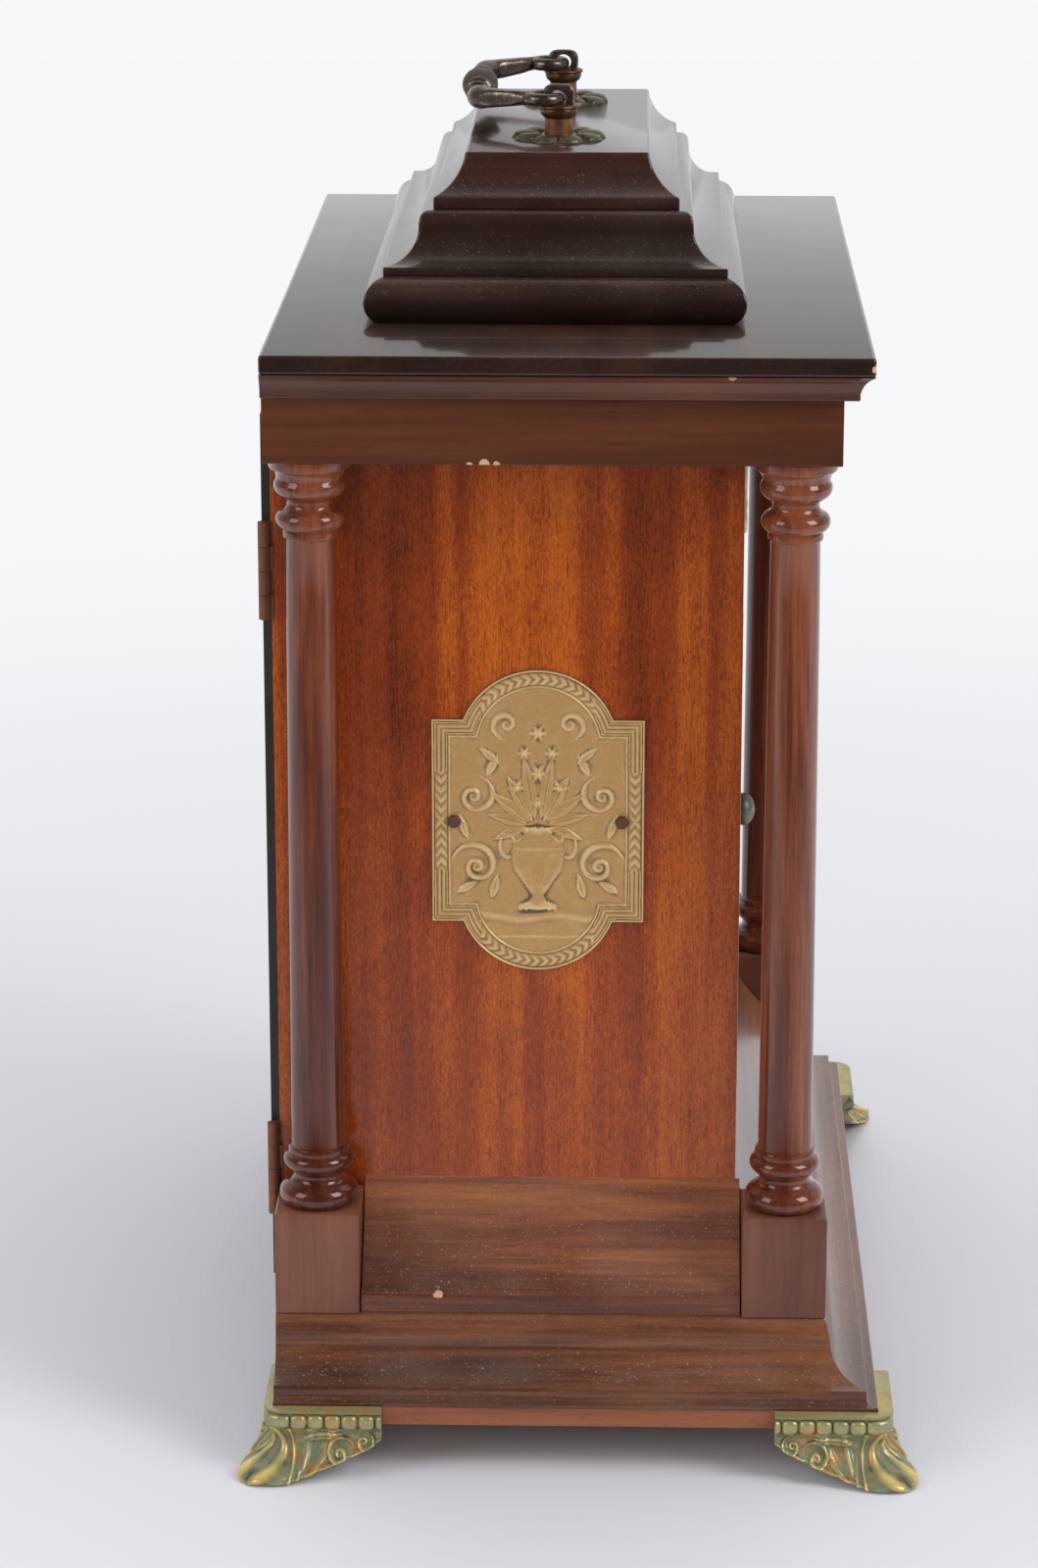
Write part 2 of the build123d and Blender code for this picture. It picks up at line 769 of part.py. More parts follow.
ring_y = middle_y + ring_radius
grip_y = middle_y + handle_reach
grip_z = pin_axis_z - grip_drop
with BuildPart() as bail:
    half_spacing = handle_spacing / 2
    with Locations(*[(side * half_spacing, ring_y, pin_axis_z) for side in (-1, 1)]):
        Torus(ring_radius, ring_wire)
    start = (-half_spacing, ring_y + ring_radius, pin_axis_z)
    with BuildLine() as bail_path:
        FilletPolyline(
            start,
            (-bail_corner_spacing / 2, grip_y, grip_z),
            (bail_corner_spacing / 2, grip_y, grip_z),
            (half_spacing, ring_y + ring_radius, pin_axis_z),
            radius=bail_corner,
        )
    with BuildSketch(Plane(origin=start, z_dir=bail_path.line % 0)):
        Circle(bail_wire)
    sweep(path=bail_path.line)
    with BuildSketch(Plane(origin=(0, grip_y, grip_z), x_dir=(1, 0, 0), z_dir=(0, 0, 1))):
        with BuildLine():
            ThreePointArc((-grip_length / 2, 0), (0, grip_radius), (grip_length / 2, 0))
            Line((grip_length / 2, 0), (-grip_length / 2, 0))
        make_face()
    revolve(axis=Axis((0, grip_y, grip_z), (1, 0, 0)))
    with Locations(*[(side * grip_length / 2, grip_y, grip_z) for side in (-1, 1)]):
        Cylinder(bail_wire * 1.5, bail_wire, rotation=(0, 90, 0))
bail.part.label = "bail_handle"
export_step(bail.part, "parts/bail_handle.step")

# Side plaques and their pins
arch_rise = (plaque_height - plaque_shoulder_height) / 2
arch_radius = ((plaque_arch_width / 2) ** 2 + arch_rise**2) / (2 * arch_rise)
for side_name, side in sides:
    outer_face = Plane(
        origin=(side * panel_outer, plaque_y, plaque_center_z), x_dir=(0, side, 0), z_dir=(side, 0, 0)
    )
    with BuildPart() as plaque:
        with BuildSketch(outer_face):
            Rectangle(plaque_width, plaque_shoulder_height)
            for end in (-1, 1):
                with Locations((0, end * (plaque_height / 2 - arch_radius))):
                    Circle(arch_radius)
            with Locations(*[(offset, 0) for offset in pin_offsets]):
                Circle(plaque_pin_radius + fixed_clearance, mode=Mode.SUBTRACT)
        extrude(amount=plaque_thickness)
    plaque.part.label = f"plaque_{side_name}"
    export_step(plaque.part, f"parts/plaque_{side_name}.step")

with BuildPart() as plaque_pins:
    for side in (-1, 1):
        outer_face = Plane(
            origin=(side * panel_outer, plaque_y, plaque_center_z), x_dir=(0, side, 0), z_dir=(side, 0, 0)
        )
        with BuildSketch(outer_face.offset(-panel_thickness / 2)):
            with Locations(*[(offset, 0) for offset in pin_offsets]):
                Circle(plaque_pin_radius)
        extrude(amount=panel_thickness / 2 + plaque_thickness)
        with BuildSketch(outer_face.offset(plaque_thickness)):
            with Locations(*[(offset, 0) for offset in pin_offsets]):
                Circle(plaque_pin_head)
        extrude(amount=plaque_pin_radius, taper=30)
plaque_pins.part.label = "plaque_pins"
export_step(plaque_pins.part, "parts/plaque_pins.step")

# Back door: thin panel over the back, hinged at the left
knuckle_length = hinge_length / hinge_knuckles
door_edge = -panel_outer + hinge_barrel_radius - hinge_overhang + 4 * running_clearance
leaf_end = -panel_outer + hinge_leaf_width
leaf_skin = hinge_leaf + running_clearance
back_door_bottom = base_top + back_door_bottom_gap
back_door_top = frieze_z + back_door_top_lap

with BuildPart() as back_door:
    with BuildSketch(Plane.XY.offset(back_door_bottom)):
        with Locations(((door_edge + panel_outer) / 2, back_face + back_door_thickness / 2)):
            Rectangle(panel_outer - door_edge, back_door_thickness)
    extrude(amount=back_door_top - back_door_bottom)
    with BuildSketch(Plane.XZ.offset(-back_face)):
        for center_z in hinge_centers:
            with Locations(((door_edge + leaf_end) / 2, center_z)):
                Rectangle(leaf_end - door_edge, hinge_length)
    extrude(amount=-leaf_skin, mode=Mode.SUBTRACT)
back_door.part.label = "back_door"
export_step(back_door.part, "parts/back_door.step")


def knuckle_spans(first):
    """Bottom heights of every second knuckle of both hinges."""
    return [
        center_z - hinge_length / 2 + index * knuckle_length
        for center_z in hinge_centers
        for index in range(first, hinge_knuckles, 2)
    ]


def barrel_and_web(span_z, web_from, web_to, web_end):
    """One knuckle: its barrel and the web that joins it to the leaf."""
    height = knuckle_length - 2 * running_clearance
    with BuildPart() as knuckle:
        with BuildSketch(Plane.XY.offset(span_z + running_clearance)):
            with Locations((hinge_x, hinge_y)):
                Circle(hinge_barrel_radius)
            with Locations(((hinge_x + web_end) / 2, (web_from + web_to) / 2)):
                Rectangle(web_end - hinge_x, web_to - web_from)
        extrude(amount=height)
    return knuckle.part


case_bore = hinge_pin_radius + fixed_clearance
door_bore = hinge_pin_radius + running_clearance
case_leaf = (back_face - hinge_leaf, back_face, -panel_outer)
door_leaf = (back_face + running_clearance, back_face + leaf_skin, door_edge)
case_web_top = back_face + hinge_stand_off / 2
door_web_top = back_face + leaf_skin
for leaf_name, first, leaf, web_top, bore in (
    ("case", 0, case_leaf, case_web_top, case_bore),
    ("door", 1, door_leaf, door_web_top, door_bore),
):
    leaf_from, leaf_to, leaf_start = leaf
    with BuildPart() as leaves:
        with BuildSketch(Plane.XY.offset(hinge_bottom_z - hinge_length / 2)):
            with Locations(((leaf_start + leaf_end) / 2, (leaf_from + leaf_to) / 2)):
                Rectangle(leaf_end - leaf_start, leaf_to - leaf_from)
        extrude(amount=hinge_length)
        with BuildSketch(Plane.XY.offset(hinge_top_z - hinge_length / 2)):
            with Locations(((leaf_start + leaf_end) / 2, (leaf_from + leaf_to) / 2)):
                Rectangle(leaf_end - leaf_start, leaf_to - leaf_from)
        extrude(amount=hinge_length)
        web_end = leaf_start + fixed_clearance
        for span_z in knuckle_spans(first):
            add(barrel_and_web(span_z, leaf_from, web_top, web_end))
        with BuildSketch():
            with Locations((hinge_x, hinge_y)):
                Circle(bore)
        extrude(amount=frieze_z, mode=Mode.SUBTRACT)
    leaves.part.label = f"hinge_{leaf_name}_leaves"
    export_step(leaves.part, f"parts/hinge_{leaf_name}_leaves.step")

with BuildPart() as hinge_pins:
    for center_z in hinge_centers:
        with BuildSketch(Plane.XY.offset(center_z - hinge_length / 2)):
            with Locations((hinge_x, hinge_y)):
                Circle(hinge_pin_radius)
        extrude(amount=hinge_length)
    for pin_z in (sill_rail_top - door_pin_length / 2, frieze_z + door_pin_length / 2 - door_pin_length):
        with BuildSketch(Plane.XY.offset(pin_z)):
            with Locations((door_pin_x, door_pin_y)):
                Circle(door_pin_radius)
        extrude(amount=door_pin_length)
hinge_pins.part.label = "hinge_pins"
export_step(hinge_pins.part, "parts/hinge_pins.step")

with BuildPart() as back_knob:
    knob_x = panel_outer - panel_thickness
    with BuildSketch(Plane.XZ.offset(-(back_face + back_door_thickness))):
        with Locations((knob_x, plaque_center_z)):
            Circle(plaque_pin_head)
    extrude(amount=-plaque_pin_head)
    with BuildSketch(Plane.XZ.offset(-(back_face + back_door_thickness + plaque_pin_head))):
        with Locations((knob_x, plaque_center_z)):
            Circle(2 * plaque_pin_head)
    extrude(amount=-1.5 * plaque_pin_head)
    fillet(back_knob.edges().filter_by(GeomType.CIRCLE).sort_by(Axis.Y)[-1], plaque_pin_head / 2)
back_knob.part.label = "back_door_knob"
export_step(back_knob.part, "parts/back_door_knob.step")


# Front door: frame with an arched opening, glass in a rebate, corner frets and a knob
def arched_opening(plane, grow):
    """Rectangle with a round arch above it, grown outwards by the given amount."""
    with BuildSketch(plane) as outline:
        with Locations((0, (opening_bottom + opening_shoulder_z) / 2)):
            Rectangle(opening_width + 2 * grow, opening_shoulder + 2 * grow)
        with Locations((0, opening_arch_z)):
            Circle(opening_arch_radius + grow)
    return outline.sketch


def facing_front(depth):
    """Plane parallel to the dial, looking towards -Y."""
    return Plane(origin=(0, depth, 0), x_dir=(1, 0, 0), z_dir=(0, -1, 0))


lip_back = door_front + glass_lip
with BuildPart() as door_frame:
    with BuildSketch(facing_front(door_back)):
        with Locations((0, (door_bottom + door_top) / 2)):
            Rectangle(2 * door_half_width, door_top - door_bottom)
    extrude(amount=door_thickness)
    extrude(arched_opening(facing_front(door_back), 0), amount=door_thickness, mode=Mode.SUBTRACT)
    extrude(
        arched_opening(facing_front(door_back), glass_rebate),
        amount=door_back - lip_back,
        mode=Mode.SUBTRACT,
    )
    for start_z, reach in ((door_bottom, door_pin_length), (door_top, -door_pin_length)):
        with BuildSketch(Plane.XY.offset(start_z)):
            with Locations((door_pin_x, door_pin_y)):
                Circle(door_pin_radius + running_clearance)
        extrude(amount=reach, mode=Mode.SUBTRACT)
door_frame.part.label = "front_door_frame"
export_step(door_frame.part, "parts/front_door_frame.step")

with BuildPart() as door_glass:
    extrude(
        arched_opening(facing_front(lip_back + glass_thickness), glass_rebate - joint_gap),
        amount=glass_thickness,
    )
door_glass.part.label = "front_door_glass"
export_step(door_glass.part, "parts/front_door_glass.step")

# The frets stop short of the hinge pins, so that they clear the side panel as the door opens.
fret_inset = door_pin_inset + door_pin_depth + fret_thickness + joint_gap
with BuildPart() as frets:
    for side in (-1, 1):
        fret_edge = side * (door_half_width - fret_inset)
        fret_top = door_top - joint_gap
        with BuildSketch(facing_front(door_front)):
            with BuildLine():
                Polyline(
                    (fret_edge, fret_top - fret_size),
                    (fret_edge, fret_top),
                    (fret_edge - side * fret_size, fret_top),
                )
                ThreePointArc(
                    (fret_edge - side * fret_size, fret_top),
                    (fret_edge - side * fret_size * 0.42, fret_top - fret_size * 0.42),
                    (fret_edge, fret_top - fret_size),
                )
            make_face()
            with Locations((fret_edge - side * fret_size * 0.2, fret_top - fret_size * 0.2)):
                Circle(fret_size * 0.09, mode=Mode.SUBTRACT)
        extrude(amount=fret_thickness)
frets.part.label = "door_frets"
export_step(frets.part, "parts/door_frets.step")

stile_width = door_half_width - opening_width / 2
knob_axis = Axis((door_half_width - stile_width / 2, door_front, opening_bottom + knob_height), (0, -1, 0))
knob_half = 0.4 * knob_reach
with BuildPart() as knob:
    with BuildSketch(Plane(origin=knob_axis.position, x_dir=(1, 0, 0), z_dir=(0, 0, 1))):
        with Locations((0, knob_half - knob_reach)):
            Ellipse(knob_radius, knob_half)
        with Locations((0, -knob_reach / 4)):
            Rectangle(knob_radius, knob_reach / 2)
        with Locations((0, -knob_reach / 18)):
            Rectangle(1.4 * knob_radius, knob_reach / 9)
        with Locations((knob_radius, -knob_reach / 2)):
            Rectangle(2 * knob_radius, 2 * knob_reach, mode=Mode.INTERSECT)
    revolve(axis=knob_axis)
knob.part.label = "front_door_knob"
export_step(knob.part, "parts/front_door_knob.step")

# Dial, chapter ring and hands
barrel_places = {
    "strike": (-barrel_spread, dial_z - barrel_high_drop),
    "going": (0, dial_z - barrel_low_drop),
    "chime": (barrel_spread, dial_z - barrel_high_drop),
}
plate_center_z = dial_z - barrel_high_drop
pillar_x = movement_width / 2 - 2 * pillar_radius
pillar_z = movement_height / 2 - 2 * pillar_radius

with BuildPart() as dial:
    extrude(arched_opening(facing_front(dial_back), dial_margin), amount=dial_thickness)
    with BuildSketch(facing_front(movement_front)):
        with Locations((0, plate_center_z)):
            with GridLocations(2 * pillar_x, pillar_z, 2, 2):
                Circle(pillar_radius / 2)
    extrude(amount=dial_foot_length)
    with BuildSketch(facing_front(dial_back)):
        with Locations((0, dial_z)):
            Circle(hour_pipe_radius + running_clearance)
        with Locations(*barrel_places.values()):
            Circle(winding_hole_radius)
    extrude(amount=dial_thickness, mode=Mode.SUBTRACT)
dial.part.label = "dial_plate"
export_step(dial.part, "parts/dial_plate.step")

with BuildPart() as chapter_ring:
    with BuildSketch(facing_front(dial_front)):
        with Locations((0, dial_z)):
            Circle(chapter_outer)
            Circle(chapter_inner, mode=Mode.SUBTRACT)
    extrude(amount=chapter_thickness)
chapter_ring.part.label = "chapter_ring"
export_step(chapter_ring.part, "parts/chapter_ring.step")


def hand_plane(angle, depth):
    """Plane whose Y axis points along a hand that stands at the clockwise angle from twelve."""
    turn = radians(angle)
    return Plane(origin=(0, depth, dial_z), x_dir=(cos(turn), 0, -sin(turn)), z_dir=(0, -1, 0))


def hand(angle, depth, length, boss, back, shaft, bore):
    """Leaf-shaped hand on a round boss, with the shaft or pipe that carries it."""
    waist = boss * 0.45
    swell = boss * 1.1
    with BuildPart() as piece:
        with BuildSketch(hand_plane(angle, depth)):
            Circle(boss)
            with BuildLine():
                Polyline(
                    (-waist, 0),
                    (-waist, length * 0.45),
                    (-swell, length * 0.6),
                    (-waist * 0.4, length * 0.78),
                    (0, length),
                    (waist * 0.4, length * 0.78),
                    (swell, length * 0.6),
                    (waist, length * 0.45),
                    (waist, 0),
                    close=True,
                )
            make_face()
        extrude(amount=hand_thickness)
        with BuildSketch(hand_plane(angle, depth)):
            Circle(shaft)
        extrude(amount=depth - back)
        if bore:
            with BuildSketch(hand_plane(angle, back)):
                Circle(bore)
            extrude(amount=back - depth + 2 * hand_thickness, mode=Mode.SUBTRACT)
    return piece


hour_depth = dial_front - chapter_thickness - 2 * hand_thickness
minute_depth = hour_depth - 3 * hand_thickness
pipe_end = movement_front - joint_gap

hour_hand = hand(
    hour_hand_angle, hour_depth, hour_hand_length, 2 * hour_pipe_radius, pipe_end,
    hour_pipe_radius, arbor_radius + running_clearance,
)
hour_hand.part.label = "hour_hand"
export_step(hour_hand.part, "parts/hour_hand.step")

minute_hand = hand(
    minute_hand_angle, minute_depth, minute_hand_length, 2 * arbor_radius,
    movement_front + 3 * plate_thickness, arbor_radius, 0,
)
minute_hand.part.label = "minute_hand"
export_step(minute_hand.part, "parts/minute_hand.step")

# Movement: two plates, four pillars and two straps to the side panels, riveted together
with BuildPart() as movement:
    for depth in (movement_front + plate_thickness, movement_back):
        with BuildSketch(facing_front(depth)):
            with Locations((0, plate_center_z)):
                Rectangle(movement_width, movement_height)
        extrude(amount=plate_thickness)
    with BuildSketch(facing_front(movement_back)):
        with Locations((0, plate_center_z)):
            with GridLocations(2 * pillar_x, 2 * pillar_z, 2, 2):
                Circle(pillar_radius)
    extrude(amount=movement_depth - plate_thickness)
    with BuildSketch(facing_front(movement_front + 2 * plate_thickness)):
        for end in (-1, 1):
            with Locations((0, plate_center_z + end * (pillar_z - strap_height / 4))):
                Rectangle(2 * panel_inner, strap_height)
    extrude(amount=plate_thickness)
    with BuildSketch(facing_front(movement_back)):
        with Locations(*barrel_places.values()):
            Circle(barrel_arbor_radius + running_clearance)
    extrude(amount=movement_depth, mode=Mode.SUBTRACT)
    with BuildSketch(facing_front(movement_front + 3 * plate_thickness)):
        with Locations((0, dial_z)):
            Circle(arbor_radius + running_clearance)
    extrude(amount=3 * plate_thickness, mode=Mode.SUBTRACT)
movement.part.label = "movement_frame"
export_step(movement.part, "parts/movement_frame.step")

drum_front = movement_front + (movement_depth + plate_thickness - barrel_length) / 2
for barrel_name, (barrel_x, barrel_z) in barrel_places.items():
    with BuildPart() as barrel:
        with BuildSketch(facing_front(drum_front + barrel_length)):
            with Locations((barrel_x, barrel_z)):
                Circle(barrel_radius)
        extrude(amount=barrel_length)
        with BuildSketch(facing_front(movement_back)):
            with Locations((barrel_x, barrel_z)):
                Circle(barrel_arbor_radius)
        extrude(amount=movement_depth)
        with BuildSketch(facing_front(movement_front)):
            with Locations((barrel_x, barrel_z)):
                Rectangle(winding_square, winding_square)
        extrude(amount=movement_front - dial_front + dial_thickness)
    barrel.part.label = f"{barrel_name}_barrel"
    export_step(barrel.part, f"parts/{barrel_name}_barrel.step")

# Chime rods in a cast block on the floor of the case
block_x = rod_length / 2
block_y = back_face - 2 * block_size
rod_block_height = 2 * strap_height
with BuildPart() as chime_rods:
    with BuildSketch(Plane.XY.offset(base_top)):
        with Locations((block_x, block_y)):
            Rectangle(strap_height, (rod_count + 1) * rod_pitch)
    extrude(amount=rod_block_height)
    with BuildSketch(Plane.YZ.offset(block_x)):
        with Locations((block_y, base_top + rod_block_height / 2)):
            with GridLocations(rod_pitch, rod_pitch, rod_count, 1):
                Circle(rod_radius)
    extrude(amount=-rod_length)
chime_rods.part.label = "chime_rods"
export_step(chime_rods.part, "parts/chime_rods.step")
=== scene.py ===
"""Chiming table clock in lacquered mahogany, seen from its left side with the folded bail on top."""

import bpy
import numpy as np
from math import cos, pi, radians, sin
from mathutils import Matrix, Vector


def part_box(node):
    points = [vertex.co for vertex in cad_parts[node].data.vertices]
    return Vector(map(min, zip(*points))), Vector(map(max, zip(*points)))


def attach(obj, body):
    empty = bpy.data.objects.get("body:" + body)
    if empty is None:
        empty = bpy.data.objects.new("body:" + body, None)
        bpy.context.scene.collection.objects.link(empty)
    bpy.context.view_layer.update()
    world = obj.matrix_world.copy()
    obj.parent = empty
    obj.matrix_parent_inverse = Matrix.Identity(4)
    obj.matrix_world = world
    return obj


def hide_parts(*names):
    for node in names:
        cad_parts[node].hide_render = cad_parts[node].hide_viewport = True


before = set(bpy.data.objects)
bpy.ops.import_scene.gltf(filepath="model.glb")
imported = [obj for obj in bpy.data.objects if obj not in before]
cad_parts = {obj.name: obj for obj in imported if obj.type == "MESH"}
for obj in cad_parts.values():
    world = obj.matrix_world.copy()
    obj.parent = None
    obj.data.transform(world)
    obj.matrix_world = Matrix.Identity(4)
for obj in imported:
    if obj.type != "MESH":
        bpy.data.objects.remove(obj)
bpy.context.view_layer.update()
MM = 0.001


# Studio: a pale floor that fades into a white room, a bright side behind the clock, soft boxes
# on both sides and overhead, and a long lens looking slightly down on the clock's left side.
def linear(code):
    """Linear colour of an sRGB hex code: c / 12.92 below 0.04045, else ((c + 0.055) / 1.055) ^ 2.4."""
    c = np.array([int(code[i : i + 2], 16) for i in (0, 2, 4)]) / 255
    return (*np.where(c <= 0.04045, c / 12.92, ((c + 0.055) / 1.055) ** 2.4).tolist(), 1.0)


def feed(node, values=None, links=None, **settings):
    """Gives a node its settings, its socket values and its links. A linked node means its first output.

    A mix node's sockets go by number: 0 is the share, 2 and 3 are its values, 6 and 7 its colours.
    """
    for key, value in settings.items():
        setattr(node, key, value)
    for key, value in (values or {}).items():
        node.inputs[key].default_value = value
    for key, source in (links or {}).items():
        output = source.outputs[0] if isinstance(source, bpy.types.Node) else source
        node.id_data.links.new(output, node.inputs[key])
    return node


def add(tree, kind, values=None, links=None, **settings):
    """A new shader node of one kind in a tree, fed as above."""
    return feed(tree.nodes.new("ShaderNode" + kind), values, links, **settings)


def material(name):
    """A new node material: returns it, its tree and its shader."""
    made = bpy.data.materials.new(name)
    made.use_nodes = True
    return made, made.node_tree, made.node_tree.nodes["Principled BSDF"]


def surface(name, points, faces, finish):
    """A new object from points in metres and faces, with one finish."""
    mesh = bpy.data.meshes.new(name)
    mesh.from_pydata(points, [], faces)
    mesh.materials.append(finish)
    made = bpy.data.objects.new(name, mesh)
    bpy.context.collection.objects.link(made)
    return made


# The room: plain to the camera and through glass, half as bright for light on the clock, and for
# reflections dark on the viewer's side and bright behind the clock.
room = bpy.data.worlds.new("white_room")
bpy.context.scene.world = room
room.use_nodes = True
tree = room.node_tree
rays = add(tree, "LightPath")
outwards = add(tree, "TexCoord").outputs["Generated"]
view_way = add(tree, "SeparateXYZ", None, {0: outwards})
bright_side = add(
    tree, "MapRange", {"From Min": 0.0, "From Max": 0.8, "To Min": 0.05, "To Max": 0.85},
    {"Value": view_way},
)
mirrored = add(tree, "Mix", {2: 0.55}, {0: rays.outputs["Is Glossy Ray"], 3: bright_side})
seen = add(
    tree, "Math", None,
    {0: rays.outputs["Is Camera Ray"], 1: rays.outputs["Is Transmission Ray"]}, operation="MAXIMUM",
)
level = add(tree, "Mix", {3: 1.0}, {0: seen, 2: mirrored})
feed(tree.nodes["Background"], {"Color": linear("f7f8fa")}, {"Strength": level})

# Backdrop paper: matt and pale grey near the clock, fading to plain white further out. On the viewer's side,
# glossy rays see it as a flat dark grey glow: a painted dark reflection.
floor_size = 7.0
fade_start = 0.15
fade_end = 1.25
dim_from = 0.35
dim_to = 1.0
paper, tree, cover = material("pale_backdrop_paper")
feed(cover, {"Base Color": linear("dcdce2"), "Roughness": 0.75, "Specular IOR Level": 0.2})
glow = add(tree, "Emission", {"Color": linear("f6f7f9"), "Strength": 1.0})
spot = add(tree, "TexCoord").outputs["Object"]
reach = add(tree, "VectorMath", None, {0: spot}, operation="LENGTH")
far = add(
    tree, "MapRange", {"From Min": fade_start, "From Max": fade_end},
    {"Value": reach.outputs["Value"]}, interpolation_type="SMOOTHSTEP",
)
fade = add(tree, "MixShader", None, {0: far, 1: cover, 2: glow})
# Painted dark reflection: a dark grey glow that only glossy rays see, on the floor in front of the clock.
painted_dark_reflection = add(tree, "Emission", {"Color": linear("48484c"), "Strength": 1.0})
spot_x = add(tree, "SeparateXYZ", None, {0: spot})
before_it = add(tree, "MapRange", {"From Min": -dim_from, "From Max": -dim_to}, {"Value": spot_x})
glossy = add(tree, "LightPath").outputs["Is Glossy Ray"]
dim = add(tree, "Math", None, {0: before_it, 1: glossy}, operation="MULTIPLY")
lit = add(tree, "MixShader", None, {0: dim, 1: fade, 2: painted_dark_reflection})
feed(tree.nodes["Material Output"], None, {"Surface": lit})
half = floor_size / 2
corners = [(-half, -half, 0), (half, -half, 0), (half, half, 0), (-half, half, 0)]
floor = surface("floor", corners, [(0, 1, 2, 3)], paper)

# Soft boxes: two off the corners of the case, which show in the lacquer, one overhead and a weak
# one at the viewer's side, which don't.
for name, place, aim, size, power in (
    ("soft_box_front", (-1.0, -1.7, 1.5), (0, 0, 0.2), 1.0, 26),
    ("soft_box_back", (-1.2, 1.7, 1.2), (0, 0, 0.2), 1.0, 12),
    ("soft_box_top", (0.5, 0.1, 2.2), (0, 0, 0.3), 1.5, 18),
    ("soft_box_viewer", (-2.3, 0.1, 0.7), (0, 0, 0.1), 1.2, 10),
):
    lamp = bpy.data.lights.new(name, "AREA")
    lamp.shape = "RECTANGLE"
    lamp.size = size
    lamp.size_y = size * 1.3
    lamp.energy = power
    holder = bpy.data.objects.new(name, lamp)
    bpy.context.collection.objects.link(holder)
    holder.location = place
    gaze = Vector(aim) - Vector(place)
    holder.rotation_euler = gaze.to_track_quat("-Z", "Y").to_euler()
    holder.visible_glossy = name in ("soft_box_front", "soft_box_back")

# Camera: place, heading and lens from the photograph's perspective.
eye = np.array([-1.5717, -0.0173, 0.6572])
yaw = 0.02649
pitch = 0.28729
forward = np.array([cos(pitch) * cos(yaw), cos(pitch) * sin(yaw), -sin(pitch)])
rightward = np.array([sin(yaw), -cos(yaw), 0])
upward = np.cross(rightward, forward)
lens = bpy.data.cameras.new("camera")
lens.lens = 104.08
lens.sensor_width = 36
lens.clip_start = 0.05
camera = bpy.data.objects.new("camera", lens)
bpy.context.collection.objects.link(camera)
camera.matrix_world = Matrix(
    [[rightward[i], upward[i], -forward[i], eye[i]] for i in range(3)] + [[0, 0, 0, 1]]
)
bpy.context.scene.camera = camera
bpy.context.scene.view_settings.view_transform = "Standard"


